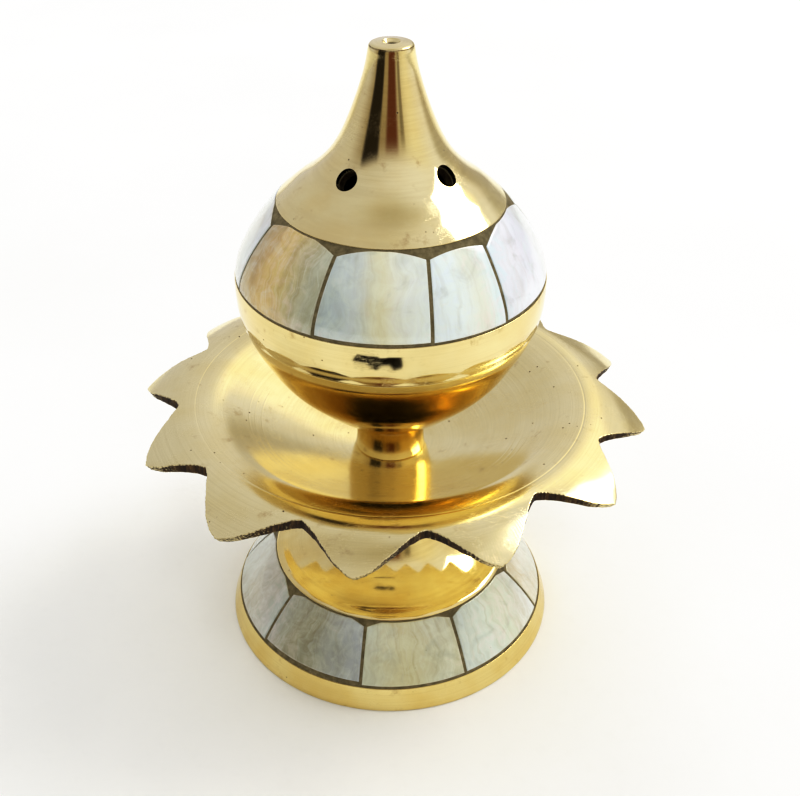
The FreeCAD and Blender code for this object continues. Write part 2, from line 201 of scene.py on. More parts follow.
# ============================================================ node helpers
class Tree:
    def __init__(s, tree):
        s.t = tree; s.n = tree.nodes; s.l = tree.links
        s.n.clear()

    def node(s, kind, **kw):
        nd = s.n.new(kind)
        for k, v in kw.items():
            setattr(nd, k, v)
        return nd

    def put(s, sock, v):
        if v is None:
            return
        if isinstance(v, bpy.types.NodeSocket):
            s.l.new(v, sock)
        else:
            try:
                sock.default_value = v
            except Exception:
                sock.default_value = tuple(v) + (1.0,)

    def m(s, op, a, b=None, c=None, clamp=False):
        nd = s.node("ShaderNodeMath", operation=op, use_clamp=clamp)
        s.put(nd.inputs[0], a); s.put(nd.inputs[1], b)
        if c is not None:
            s.put(nd.inputs[2], c)
        return nd.outputs[0]

    def v(s, op, a, b=None, out=0):
        nd = s.node("ShaderNodeVectorMath", operation=op)
        s.put(nd.inputs[0], a)
        if b is not None:
            if op == "SCALE":
                s.put(nd.inputs[3], b)
            else:
                s.put(nd.inputs[1], b)
        return nd.outputs[out]

    def xyz(s, a):
        nd = s.node("ShaderNodeSeparateXYZ"); s.put(nd.inputs[0], a)
        return nd.outputs[0], nd.outputs[1], nd.outputs[2]

    def vec(s, x, y, z):
        nd = s.node("ShaderNodeCombineXYZ")
        s.put(nd.inputs[0], x); s.put(nd.inputs[1], y); s.put(nd.inputs[2], z)
        return nd.outputs[0]

    def noise(s, vec, scale, detail=3.0, rough=0.5, dist=0.0, out=0):
        nd = s.node("ShaderNodeTexNoise")
        s.put(nd.inputs["Vector"], vec); nd.inputs["Scale"].default_value = scale
        nd.inputs["Detail"].default_value = detail; nd.inputs["Roughness"].default_value = rough
        nd.inputs["Distortion"].default_value = dist
        return nd.outputs[out]

    def voro(s, vec, scale, feature="F1", rnd=1.0, out="Distance"):
        nd = s.node("ShaderNodeTexVoronoi", feature=feature)
        s.put(nd.inputs["Vector"], vec); nd.inputs["Scale"].default_value = scale
        nd.inputs["Randomness"].default_value = rnd
        return nd.outputs[out]

    def rng(s, v, a, b, c=0.0, d=1.0, kind="SMOOTHSTEP"):
        nd = s.node("ShaderNodeMapRange", interpolation_type=kind)
        s.put(nd.inputs[0], v); s.put(nd.inputs[1], a); s.put(nd.inputs[2], b)
        s.put(nd.inputs[3], c); s.put(nd.inputs[4], d)
        return nd.outputs[0]

    def ramp(s, fac, stops, kind="LINEAR"):
        nd = s.node("ShaderNodeValToRGB")
        cr = nd.color_ramp
        cr.interpolation = kind
        while len(cr.elements) < len(stops):
            cr.elements.new(0.5)
        for e, (p, col) in zip(cr.elements, stops):
            e.position = p
            e.color = tuple(col) + (1.0,) if len(col) == 3 else col
        s.put(nd.inputs[0], fac)
        return nd.outputs[0]

    def mix(s, fac, a, b, blend="MIX"):
        nd = s.node("ShaderNodeMix", data_type="RGBA", blend_type=blend)
        nd.clamp_factor = True
        s.put(nd.inputs[0], fac); s.put(nd.inputs[6], a); s.put(nd.inputs[7], b)
        return nd.outputs[2]

    def bump(s, height, strength, dist, normal=None):
        nd = s.node("ShaderNodeBump")
        nd.inputs["Strength"].default_value = strength
        nd.inputs["Distance"].default_value = dist
        s.put(nd.inputs["Height"], height)
        if normal is not None:
            s.put(nd.inputs["Normal"], normal)
        return nd.outputs[0]


def lin(c):
    """8-bit sRGB to scene-linear"""
    return tuple((v / 255.0 / 12.92) if v / 255.0 <= 0.04045 else ((v / 255.0 + 0.055) / 1.055) ** 2.4 for v in c)


def new_mat(name):
    m = bpy.data.materials.new(name)
    m.use_nodes = True
    return m, Tree(m.node_tree)


def finish_mat(T, bsdf):
    out = T.node("ShaderNodeOutputMaterial")
    T.l.new(bsdf.outputs[0], out.inputs[0])


def mm_coords(T):
    """object position in millimetres, and the cylindrical pieces of it"""
    tc = T.node("ShaderNodeTexCoord")
    p = T.v("SCALE", tc.outputs["Object"], 1.0 / U)
    x, y, z = T.xyz(p)
    r = T.m("SQRT", T.m("ADD", T.m("MULTIPLY", x, x), T.m("MULTIPLY", y, y)))
    rs = T.m("MAXIMUM", r, 0.001)
    cx = T.m("DIVIDE", x, rs); cy = T.m("DIVIDE", y, rs)
    return p, x, y, z, r, cx, cy


def brass(name, tint=(214, 178, 104), deep=(196, 152, 70), rough=0.16, aniso=0.45, lines=1.0,
          scratch=1.0, pits=1.0, tarnish=1.0, soot=None, edge=None, s_axis="rz", seed=0.0):
    M, T = new_mat(name)
    p, x, y, z, r, cx, cy = mm_coords(T)
    sc = {"rz": T.m("ADD", T.m("MULTIPLY", r, 0.7), z), "r": r, "z": z}[s_axis]
    sc = T.m("ADD", sc, seed)
    # turning marks: noise that is long round the axis and short along the profile
    turn_v = T.vec(T.m("MULTIPLY", cx, 0.9), T.m("MULTIPLY", cy, 0.9), T.m("MULTIPLY", sc, 5.5))
    turning = T.noise(turn_v, 1.0, 6.0, 0.62)
    turn_v2 = T.vec(T.m("MULTIPLY", cx, 6.0), T.m("MULTIPLY", cy, 6.0), T.m("MULTIPLY", sc, 22.0))
    fine = T.noise(turn_v2, 1.0, 4.0, 0.6)
    broad = T.noise(T.vec(T.m("MULTIPLY", cx, 1.6), T.m("MULTIPLY", cy, 1.6), T.m("MULTIPLY", sc, 0.55)), 1.0, 3.0, 0.5)
    cloud = T.noise(T.v("ADD", p, (seed, 3.1, 7.7)), 0.11, 4.0, 0.55)
    # hair scratches in three directions, broken up
    scr = None
    for i, (ang, sx, sy, off) in enumerate(((0.6, 0.5, 9.0, 1.3), (-0.9, 0.42, 8.0, 5.1), (1.9, 0.6, 11.0, 9.7))):
        mp = T.node("ShaderNodeMapping")
        T.put(mp.inputs["Vector"], p)
        mp.inputs["Rotation"].default_value = (ang * 0.7, ang * 0.4, ang)
        mp.inputs["Scale"].default_value = (sx, sy, sy)
        mp.inputs["Location"].default_value = (off + seed, off * 2, off * 3)
        nz = T.noise(mp.outputs[0], 0.55, 2.0, 0.5, 0.6)
        ln = T.rng(T.m("ABSOLUTE", T.m("SUBTRACT", nz, 0.5)), 0.0, 0.012, 1.0, 0.0)
        gate = T.rng(T.noise(T.v("ADD", p, (off * 7, off, 2)), 0.23, 2.0, 0.5), 0.54, 0.66)
        ln = T.m("MULTIPLY", ln, gate)
        scr = ln if scr is None else T.m("MAXIMUM", scr, ln)
    # small dark pits and specks
    vd = T.voro(T.v("ADD", p, (seed * 3, 0, 0)), 0.62)
    gatep = T.rng(T.noise(T.v("ADD", p, (11, seed, 5)), 0.19, 2.0, 0.5), 0.52, 0.64)
    pit = T.m("MULTIPLY", T.rng(vd, 0.05, 0.10, 1.0, 0.0), gatep)
    # colour
    col = T.mix(T.rng(cloud, 0.3, 0.72), lin(tint), lin(deep))
    col = T.mix(T.m("MULTIPLY", T.rng(turning, 0.35, 0.7), 0.22 * lines), col, lin(tuple(int(c * 0.86) for c in deep)))
    stain = T.m("MULTIPLY", T.rng(T.noise(T.v("ADD", p, (seed, 20, 9)), 0.34, 5.0, 0.62), 0.60, 0.78), 0.38 * tarnish)
    col = T.mix(stain, col, lin((142, 100, 52)))
    col = T.mix(T.m("MULTIPLY", pit, 0.85 * pits), col, lin((58, 40, 22)))
    ro = T.m("ADD", rough, T.m("MULTIPLY", T.m("SUBTRACT", turning, 0.5), 0.10 * lines))
    ro = T.m("ADD", ro, T.m("MULTIPLY", T.m("SUBTRACT", cloud, 0.5), 0.08))
    ro = T.m("ADD", ro, T.m("MULTIPLY", scr, 0.20 * scratch))
    ro = T.m("ADD", ro, T.m("MULTIPLY", stain, 0.35))
    ro = T.m("ADD", ro, T.m("MULTIPLY", pit, 0.4 * pits))
    metal = 1.0
    h = T.m("ADD", T.m("MULTIPLY", turning, 0.55 * lines), T.m("MULTIPLY", fine, 0.18 * lines))
    h = T.m("SUBTRACT", h, T.m("MULTIPLY", scr, 0.55 * scratch))
    h = T.m("SUBTRACT", h, T.m("MULTIPLY", pit, 2.2 * pits))
    h = T.m("ADD", h, T.m("MULTIPLY", broad, 1.6))
    if soot is not None:
        # burnt, sooty inside: a mask built by the caller
        k = soot(T, p, x, y, z, r)
        sn = T.noise(p, 0.5, 5.0, 0.6)
        kk = T.m("MULTIPLY", k, T.rng(sn, 0.2, 0.6, 0.72, 1.0))
        col = T.mix(kk, col, T.mix(sn, lin((36, 26, 16)), lin((70, 52, 32))))
        ro = T.m("ADD", ro, T.m("MULTIPLY", k, 0.45))
        h = T.m("ADD", h, T.m("MULTIPLY", T.m("MULTIPLY", sn, k), 2.5))
        metal = T.m("SUBTRACT", 1.0, T.m("MULTIPLY", kk, 0.85))
    if edge is not None:
        k, ecol, eh = edge(T, p, x, y, z, r, cx, cy)
        col = T.mix(k, col, ecol)
        ro = T.m("ADD", ro, T.m("MULTIPLY", k, 0.42))
        h = T.m("ADD", h, T.m("MULTIPLY", eh, k))
        metal = T.m("SUBTRACT", 1.0, T.m("MULTIPLY", k, 0.55))
    b = T.node("ShaderNodeBsdfPrincipled")
    T.put(b.inputs["Base Color"], col)
    T.put(b.inputs["Metallic"], metal)
    T.put(b.inputs["Roughness"], T.m("MINIMUM", T.m("MAXIMUM", ro, 0.04), 0.8))
    b.inputs["Anisotropic"].default_value = aniso
    tg = T.node("ShaderNodeTangent", direction_type="RADIAL", axis="Z")
    T.put(b.inputs["Tangent"], tg.outputs[0])
    T.put(b.inputs["Normal"], T.bump(h, 0.55, 0.006 * U))
    finish_mat(T, b)
    return M


def pearl(name, az0, az1, stops, seed, streak=0.5, warm=0.0, rough=0.10, tilt=0.0):
    """polished shell: bands across the tile, fine growth lines, cloudy depth, soft lustre"""
    M, T = new_mat(name)
    p, x, y, z, r, cx, cy = mm_coords(T)
    mid = rad((az0 + az1) / 2)
    # angle from the tile's middle, robust all the way round
    sn = T.m("ADD", T.m("MULTIPLY", cx, cos(mid)), T.m("MULTIPLY", cy, sin(mid)))
    ang = T.m("ARCSINE", T.m("MINIMUM", T.m("MAXIMUM", sn, -0.999), 0.999))
    half = rad((az1 - az0) / 2)
    t = T.m("ADD", T.m("MULTIPLY", ang, 0.5 / half), 0.5)
    t = T.m("ADD", t, T.m("MULTIPLY", z, tilt * 0.02))
    wav = T.noise(T.v("ADD", p, (seed, seed * 2, 0)), 0.16, 3.0, 0.5)
    t = T.m("ADD", t, T.m("MULTIPLY", T.m("SUBTRACT", wav, 0.5), 0.34))
    col = T.ramp(t, stops, "B_SPLINE")
    # growth lines: thin, nearly upright bands with a drift
    gl = T.vec(T.m("MULTIPLY", t, 13.0), T.m("MULTIPLY", z, 0.10), T.m("ADD", T.m("MULTIPLY", r, 0.05), seed))
    g1 = T.noise(gl, 1.0, 5.0, 0.62, 0.5)
    gl2 = T.vec(T.m("MULTIPLY", t, 46.0), T.m("MULTIPLY", z, 0.22), seed + 4.0)
    g2 = T.noise(gl2, 1.0, 3.0, 0.6, 0.3)
    k1 = T.m("MULTIPLY", T.rng(g1, 0.42, 0.70), streak)
    col = T.mix(k1, col, T.mix(0.5, col, lin((196, 178, 128)), "MULTIPLY"))
    col = T.mix(T.m("MULTIPLY", T.rng(g2, 0.48, 0.66), 0.16 * streak), col, lin((244, 248, 250)))
    # cloudy mottling seen in the depth of the shell
    cl = T.noise(T.v("ADD", p, (3, seed, 1)), 0.42, 5.0, 0.6, 1.2)
    col = T.mix(T.rng(cl, 0.35, 0.75, 0.0, 0.24), col, lin((236, 238, 230)))
    cl2 = T.noise(T.v("ADD", p, (31, seed, 17)), 0.25, 4.0, 0.55, 0.8)
    col = T.mix(T.rng(cl2, 0.52, 0.78, 0.0, 0.34), col, lin((150, 150, 138)))
    # lustre: the colour drifts from rose through green to blue with angle
    lw = T.node("ShaderNodeLayerWeight"); lw.inputs[0].default_value = 0.42
    irv = T.m("ADD", T.m("MULTIPLY", lw.outputs["Facing"], 1.3), T.m("MULTIPLY", cl, 1.1))
    irc = T.ramp(T.m("FRACT", irv), [(0.0, lin((255, 214, 214))), (0.25, lin((236, 232, 255))), (0.5, lin((206, 240, 255))),
                                     (0.75, lin((214, 250, 226))), (1.0, lin((255, 214, 214)))])
    col = T.mix(0.14, col, T.mix(1.0, col, irc, "MULTIPLY"))
    # specks and short dark hair lines
    vd = T.voro(T.v("ADD", p, (seed, 9, 2)), 0.85)
    sp = T.m("MULTIPLY", T.rng(vd, 0.03, 0.07, 1.0, 0.0), T.rng(T.noise(p, 0.3, 2.0), 0.56, 0.66))
    col = T.mix(T.m("MULTIPLY", sp, 0.7), col, lin((84, 78, 66)))
    b = T.node("ShaderNodeBsdfPrincipled")
    T.put(b.inputs["Base Color"], col)
    T.put(b.inputs["Roughness"], T.m("ADD", rough, T.m("MULTIPLY", cl, 0.14)))
    b.inputs["IOR"].default_value = 1.60
    b.inputs["Specular IOR Level"].default_value = 0.62
    b.inputs["Coat Weight"].default_value = 0.7
    b.inputs["Coat Roughness"].default_value = 0.06
    b.inputs["Coat IOR"].default_value = 1.5
    b.inputs["Sheen Weight"].default_value = 0.08
    b.inputs["Sheen Roughness"].default_value = 0.4
    h = T.m("ADD", T.m("MULTIPLY", g1, 0.5), T.m("MULTIPLY", cl2, 2.4))
    h = T.m("SUBTRACT", h, T.m("MULTIPLY", sp, 1.6))
    T.put(b.inputs["Normal"], T.bump(h, 0.5, 0.010 * U))
    finish_mat(T, b)
    return M


def cement(name, seed=0.0):
    M, T = new_mat(name)
    p, x, y, z, r, cx, cy = mm_coords(T)
    n1 = T.noise(T.v("ADD", p, (seed, 0, 0)), 0.9, 5.0, 0.65)
    n2 = T.noise(T.v("ADD", p, (0, seed, 4)), 5.0, 4.0, 0.7)
    col = T.ramp(n1, [(0.28, lin((98, 90, 66))), (0.5, lin((124, 114, 86))), (0.74, lin((150, 139, 110)))])
    gr = T.rng(T.voro(p, 2.6), 0.05, 0.18, 1.0, 0.0)
    col = T.mix(T.m("MULTIPLY", gr, 0.5), col, lin((128, 120, 100)))
    col = T.mix(T.rng(n2, 0.55, 0.75, 0.0, 0.5), col, lin((40, 36, 28)))
    b = T.node("ShaderNodeBsdfPrincipled")
    T.put(b.inputs["Base Color"], col)
    T.put(b.inputs["Roughness"], T.rng(n2, 0.3, 0.7, 0.42, 0.72))
    b.inputs["Specular IOR Level"].default_value = 0.18
    T.put(b.inputs["Normal"], T.bump(T.m("ADD", n1, T.m("MULTIPLY", n2, 0.8)), 0.6, 0.05 * U))
    finish_mat(T, b)
    return M


def zinc(name):
    M, T = new_mat(name)
    p, x, y, z, r, cx, cy = mm_coords(T)
    n1 = T.noise(p, 0.8, 5.0, 0.6)
    sp = T.voro(p, 1.6, out="Color")
    n2 = T.noise(T.vec(T.m("MULTIPLY", x, 0.4), T.m("MULTIPLY", y, 6.0), T.m("MULTIPLY", z, 6.0)), 1.0, 4.0, 0.6)
    col = T.mix(T.rng(n1, 0.3, 0.7), lin((168, 168, 160)), lin((132, 130, 120)))
    col = T.mix(0.18, col, sp, "OVERLAY")
    col = T.mix(T.rng(n1, 0.62, 0.8, 0.0, 0.6), col, lin((116, 92, 62)))
    b = T.node("ShaderNodeBsdfPrincipled")
    T.put(b.inputs["Base Color"], col)
    b.inputs["Metallic"].default_value = 1.0
    T.put(b.inputs["Roughness"], T.rng(n2, 0.3, 0.7, 0.26, 0.48))
    T.put(b.inputs["Normal"], T.bump(T.m("ADD", n1, n2), 0.5, 0.015 * U))
    finish_mat(T, b)
    return M


# ================================================================ materials
def lid_soot(T, p, x, y, z, r):
    # inside of the lid: everything well inside the outer skin, and the vents' walls
    # outer radius as a function of height, by straight pieces
    cz = T.node("ShaderNodeFloatCurve")
    pts = [(59.0, 21.9), (63.5, 22.0), (66.5, 20.6), (70.0, 19.8), (74.0, 17.4), (77.4, 14.2), (80.0, 12.7), (83.0, 9.3),
           (86.6, 6.5), (91.8, 4.2), (97.2, 2.4), (99.0, 1.9), (100.5, 0.0)]
    cm = cz.mapping.curves[0]
    while len(cm.points) < len(pts):
        cm.points.new(0.5, 0.5)
    for q, (zz, rr) in zip(cm.points, pts):
        q.location = ((zz - 59.0) / 41.5, rr / 25.0)
        q.handle_type = "VECTOR"
    cz.mapping.update()
    T.put(cz.inputs["Value"], T.m("DIVIDE", T.m("SUBTRACT", z, 59.0), 41.5))
    lim = T.m("MULTIPLY", cz.outputs[0], 25.0)
    k = T.rng(T.m("SUBTRACT", lim, r), 0.0, 0.7)
    return T.m("MULTIPLY", k, T.rng(z, 60.0, 66.0, 0.35, 1.0))


def bowl_soot(T, p, x, y, z, r):
    a = T.rng(z, 43.5, 44.4)                      # only inside the cup
    geo = T.node("ShaderNodeNewGeometry")
    ins = T.rng(T.v("DOT_PRODUCT", geo.outputs["Normal"], T.vec(T.m("DIVIDE", x, T.m("MAXIMUM", r, 0.01)),
                                                             T.m("DIVIDE", y, T.m("MAXIMUM", r, 0.01)), 0.0), out=1),
                -0.02, 0.10, 1.0, 0.0)
    flat = T.m("MULTIPLY", T.rng(r, 5.0, 9.0, 1.0, 0.0), a)
    top = T.rng(z, 60.8, 62.2, 1.0, 0.12)
    return T.m("MULTIPLY", T.m("MULTIPLY", T.m("MAXIMUM", T.m("MULTIPLY", ins, a), flat), top), 0.95)


def under_cast(T, p, x, y, z, r):
    # rough-cast inside of the foot
    k = T.rng(T.m("SUBTRACT", T.m("SUBTRACT", 26.6, T.m("MULTIPLY", z, 0.82)), r), 0.2, 0.9)
    k = T.m("MULTIPLY", k, T.rng(z, 25.9, 26.15, 1.0, 0.0))
    low = T.rng(z, 0.02, 0.10)
    geo = T.node("ShaderNodeNewGeometry")
    nz = T.xyz(geo.outputs["Normal"])[2]
    down = T.rng(nz, -0.02, -0.12, 0.0, 1.0)
    nr = T.v("DOT_PRODUCT", geo.outputs["Normal"], T.vec(x, y, 0.0), out=1)
    inn = T.rng(nr, 0.0, -0.4, 0.0, 1.0)
    return T.m("MULTIPLY", T.m("MULTIPLY", T.m("MAXIMUM", inn, T.m("MULTIPLY", down, T.rng(r, 7.0, 6.6))), low), 0.62)


def sawn_edge(T, p, x, y, z, r, cx, cy):
    """the pierced edge of the tray: dark, with upright saw marks"""
    geo = T.node("ShaderNodeNewGeometry")
    nz = T.m("ABSOLUTE", T.xyz(geo.outputs["True Normal"])[2])
    k = T.m("MULTIPLY", T.rng(nz, 0.30, 0.44, 1.0, 0.0), T.rng(r, 31.0, 31.6))
    ang = T.m("ARCTAN2", x, y)
    sv = T.vec(T.m("MULTIPLY", ang, 26.0), T.m("MULTIPLY", z, 0.22), T.m("MULTIPLY", r, 2.1))
    n1 = T.noise(sv, 1.3, 4.0, 0.7)
    n2 = T.noise(p, 1.7, 4.0, 0.65)
    c = T.ramp(n1, [(0.30, lin((34, 24, 14))), (0.48, lin((66, 48, 28))), (0.62, lin((104, 80, 46))), (0.78, lin((170, 136, 78)))])
    c = T.mix(T.rng(n2, 0.5, 0.7, 0.0, 0.6), c, lin((46, 34, 20)))
    return k, c, T.m("MULTIPLY", n1, 14.0)


M_LID = brass("lid_polished_brass", (240, 226, 176), (235, 216, 160), 0.075, 0.35, 0.9, 1.0, 0.9, 1.0, soot=lid_soot, seed=2.0)
M_BOWL = brass("bowl_polished_brass", (238, 220, 160), (230, 206, 138), 0.08, 0.30, 0.8, 0.8, 0.8, 0.9, soot=bowl_soot, seed=9.0)
M_TRAY = brass("tray_brass", (240, 227, 180), (235, 219, 166), 0.15, 0.35, 0.9, 1.0, 1.3, 0.8, edge=sawn_edge, s_axis="r", seed=5.0)
M_BASE = brass("foot_polished_brass", (239, 222, 165), (231, 208, 142), 0.095, 0.35, 0.9, 1.0, 0.9, 1.0, soot=under_cast, seed=14.0)
M_STUD = brass("stud_brass", (196, 158, 84), (170, 128, 60), 0.26, 0.0, 0.4, 0.6, 1.2, 1.4, seed=31.0)
M_ZINC = zinc("zinc_plated_steel")
M_CEM_L = cement("lid_dark_cement", 1.0)
M_CEM_B = cement("foot_dark_cement", 6.0)

# ============================================================= turned brass
CONE_R, CONE_Z = 16.59, 77.51
BAND_TOP_R, BAND_TOP_Z = 23.22, 66.27
PART_Z = 59.75
TILE_T, BED_T = 1.25, 0.45

pearl_lid = [(BAND_TOP_R, BAND_TOP_Z), (22.95, 67.8), (22.09, 70.0), (21.02, 72.0), (19.67, 74.0), (18.22, 75.85), (CONE_R, CONE_Z)]
pearl_foot = [(26.8, 3.9), (25.35, 6.15), (23.62, 8.45), (21.70, 10.60), (19.91, 12.36)]
PL = spl(pearl_lid, n=121)
PF = spl(pearl_foot, n=121)
FLOOR_L = offset_pts(spl(pearl_lid, n=25), -(TILE_T + BED_T))
FLOOR_F = offset_pts(spl(pearl_foot, n=25), -(TILE_T + BED_T))
if FLOOR_L[12][0] > PL[60][0]:
    FLOOR_L = offset_pts(spl(pearl_lid, n=25), TILE_T + BED_T)
if FLOOR_F[12][0] > PF[60][0]:
    FLOOR_F = offset_pts(spl(pearl_foot, n=25), TILE_T + BED_T)

cone = [(CONE_R, CONE_Z), (15.35, 78.62), (13.65, 80.05), (11.85, 81.40), (10.15, 82.95), (8.72, 84.60), (7.45, 86.60),
        (6.30, 89.00), (5.20, 91.80), (4.25, 94.60), (3.55, 97.20), (3.17, 99.30)]
cone_in = [(1.6, 95.6), (2.6, 91.6), (3.9, 88.0), (5.6, 85.0), (7.9, 82.2), (10.4, 80.0), (12.6, 78.3)]
lid_in = [(12.6, 78.3), (14.6, 76.0), (16.9, 73.2), (18.7, 70.2), (19.9, 67.2), (20.4, 65.0)]
lid_prof = join([
    seg((21.0, PART_Z), (22.74, PART_Z)),
    spl([(22.74, PART_Z), (22.80, 60.2), (23.06, 61.4), (23.24, 63.2), (23.29, 65.0), (BAND_TOP_R, BAND_TOP_Z)], 0.25),
    seg((BAND_TOP_R, BAND_TOP_Z), FLOOR_L[0]),
    FLOOR_L,
    seg(FLOOR_L[-1], (CONE_R, CONE_Z)),
    spl(cone, 0.22),
    seg((3.17, 99.30), (2.93, 99.78)),
    seg((2.93, 99.78), (1.25, 100.0)),
    seg((1.25, 100.0), (0.85, 99.45)),
    seg((0.85, 99.45), (0.85, 97.2)),
    seg((0.85, 97.2), (1.6, 95.6)),
    spl(cone_in, 0.5), spl(lid_in, 0.6),
    seg((20.4, 65.0), (20.4, 63.6)), seg((20.4, 63.6), (21.0, 63.2)), seg((21.0, 63.2), (21.0, PART_Z)),
], [0.16, 0.10, 0.1, 0.0, 0.10, 0.30, 0.28, 0.12, 0.06, 0.1, 0.1, 0.0, 0.1, 0.1, 0.1, 0.12])
lid_hi = revolve("chimney_lid_brass", lid_prof, [M_LID], 360)


def drill_vents(ob):
    """the four vents, drilled square to the shoulder"""
    me_n = len(ob.data.vertices)
    tilt = rad(42.0)
    bm = bmesh.new()
    for k in range(4):
        az = rad(-38.7 + 90.0 * k)
        d = Vector((cos(tilt) * sin(az), -cos(tilt) * cos(az), sin(tilt)))
        p = Vector((9.70 * sin(az), -9.70 * cos(az), 83.40))
        M = Matrix.Translation((p + d * 0.0) * U) @ d.to_track_quat("Z", "Y").to_matrix().to_4x4()
        bmesh.ops.create_cone(bm, cap_ends=True, segments=56, radius1=1.65 * U, radius2=1.65 * U, depth=12.0 * U, matrix=M)
    me = bpy.data.meshes.new("vent_tool")
    bm.to_mesh(me); bm.free()
    tool = bpy.data.objects.new("vent_tool", me)
    bpy.context.scene.collection.objects.link(tool)
    md = ob.modifiers.new("vents", "BOOLEAN")
    md.operation = "DIFFERENCE"; md.solver = "EXACT"; md.object = tool
    dg = bpy.context.evaluated_depsgraph_get()
    new = bpy.data.meshes.new_from_object(ob.evaluated_get(dg))
    ob.modifiers.clear()
    ob.data = new
    bpy.data.objects.remove(tool)
    new.polygons.foreach_set("use_smooth", [True] * len(new.polygons))


drill_vents(lid_hi)


def turned_normals(ob, prof):
    """smooth shading taken from the turned profile itself, so that cut holes leave no dents in the polish"""
    prof = np.array(prof)
    n = len(prof)
    T = np.roll(prof, -1, 0) - np.roll(prof, 1, 0)
    # turning direction decides which side is outside
    x, y = prof[:, 0], prof[:, 1]
    ccw = np.sum(x * np.roll(y, -1) - np.roll(x, -1) * y) > 0
    N = np.stack([T[:, 1], -T[:, 0]], 1)
    if not ccw:
        N = -N
    N /= np.hypot(N[:, 0], N[:, 1])[:, None]
    me = ob.data
    co = np.empty(len(me.vertices) * 3); me.vertices.foreach_get("co", co); co = co.reshape(-1, 3) / U
    rz = np.stack([np.hypot(co[:, 0], co[:, 1]), co[:, 2]], 1)
    A = prof; B = np.roll(prof, -1, 0); D = B - A; L2 = np.maximum((D ** 2).sum(1), 1e-12)
    best = np.full(len(rz), 1e9); nn = np.zeros((len(rz), 2))
    for i in range(n):
        t = np.clip(((rz - A[i]) @ D[i]) / L2[i], 0, 1)
        q = A[i] + t[:, None] * D[i]
        dd = np.hypot(*(rz - q).T)
        w = dd < best
        best[w] = dd[w]
        v = N[i] * (1 - t[w])[:, None] + N[(i + 1) % n] * t[w][:, None]
        nn[w] = v
    nn /= np.maximum(np.hypot(nn[:, 0], nn[:, 1]), 1e-9)[:, None]
    r = np.maximum(rz[:, 0], 1e-9)
    N3 = np.stack([nn[:, 0] * co[:, 0] / r, nn[:, 0] * co[:, 1] / r, nn[:, 1]], 1)
    on = best < 0.02
    loops = np.empty(len(me.loops), int); me.loops.foreach_get("vertex_index", loops)
    out = N3[loops].copy()
    for p in me.polygons:
        li = np.arange(p.loop_start, p.loop_start + p.loop_total)
        vi = loops[li]
        fn = np.array(p.normal)
        if not (on[vi].all() and (N3[vi] @ fn).mean() > 0.82):
            out[li] = fn
    me.normals_split_custom_set([tuple(v) for v in out])


turned_normals(lid_hi, lid_prof)

bowl_out = [(5.85, 39.42), (7.3, 40.35), (9.38, 42.05), (11.75, 44.05), (13.95, 46.1), (15.95, 48.1), (17.75, 50.2),
            (19.15, 52.3), (20.30, 54.4), (21.45, 56.6), (22.20, 58.5), (22.50, 59.60)]
neck = [(5.65, 34.0), (5.52, 35.0), (5.45, 36.2), (5.50, 37.5), (5.64, 38.6), (5.72, 39.14)]
bowl_in = [(0.0, 44.40), (4.0, 44.55), (8.5, 45.6), (12.2, 48.0), (15.3, 51.2), (17.4, 54.4), (18.8, 57.4), (19.40, 60.0)]
bowl_prof = join([
    seg((0.0, 42.6), (2.5, 41.2)), seg((2.5, 41.2), (2.5, 33.9)), seg((2.5, 33.9), (5.65, 33.9)),
    spl(neck, 0.25),
    seg((5.72, 39.14), (5.58, 39.28), 0.1), seg((5.58, 39.28), (5.85, 39.42), 0.1),
    spl(bowl_out, 0.3),
    seg((22.50, 59.60), (22.38, 59.75), 0.1), seg((22.38, 59.75), (20.9, 59.75)),
    seg((20.9, 59.75), (20.9, 62.6)), seg((20.9, 62.6), (19.4, 62.6)), seg((19.4, 62.6), (19.4, 60.0)),
    spl(bowl_in, 0.5)[::-1],
], [0.1, 0.08, 0.10, 0.06, 0.03, 0.06, 0.05, 0.05, 0.08, 0.30, 0.25, 0.0], closed=False)
bowl_hi = revolve("cup_bowl_brass", np.vstack([bowl_prof]), [M_BOWL], 320)

flare = [(19.91, 12.36), (19.50, 12.72), (18.2, 13.05), (16.4, 13.55), (14.4, 14.55), (12.4, 16.05), (10.8, 17.9),
         (9.55, 20.2), (8.75, 22.6), (8.25, 25.2), (8.15, 27.6), (8.55, 29.6)]
foot_in = [(24.35, 1.5), (17.6, 10.0), (14.9, 11.7), (11.9, 13.6), (9.6, 16.2), (7.9, 19.4), (6.9, 22.4), (6.3, 24.6)]
foot_prof = join([
    seg((25.7, 0.0), (28.0, 0.0)),
    spl([(28.0, 0.0), (27.98, 0.4), (27.62, 1.6), (27.22, 2.75), (26.8, 3.9)], 0.25),
    seg((26.8, 3.9), FLOOR_F[0]), FLOOR_F, seg(FLOOR_F[-1], (19.91, 12.36)),
    spl(flare, 0.25),
    seg((8.55, 29.6), (8.85, 30.35)), seg((8.85, 30.35), (8.6, 30.6)), seg((8.6, 30.6), (2.6, 30.6)),
    seg((2.6, 30.6), (2.6, 26.0)), seg((2.6, 26.0), (5.9, 26.0)), seg((5.9, 26.0), (6.3, 24.6)),
    spl(foot_in, 0.5)[::-1], seg((24.35, 1.5), (25.7, 0.0)),
], [0.30, 0.10, 0.1, 0.0, 0.12, 0.2, 0.1, 0.1, 0.1, 0.1, 0.3, 0.1, 0.4, 0.3])
foot_hi = revolve("pedestal_foot_brass", foot_prof, [M_BASE], 360)

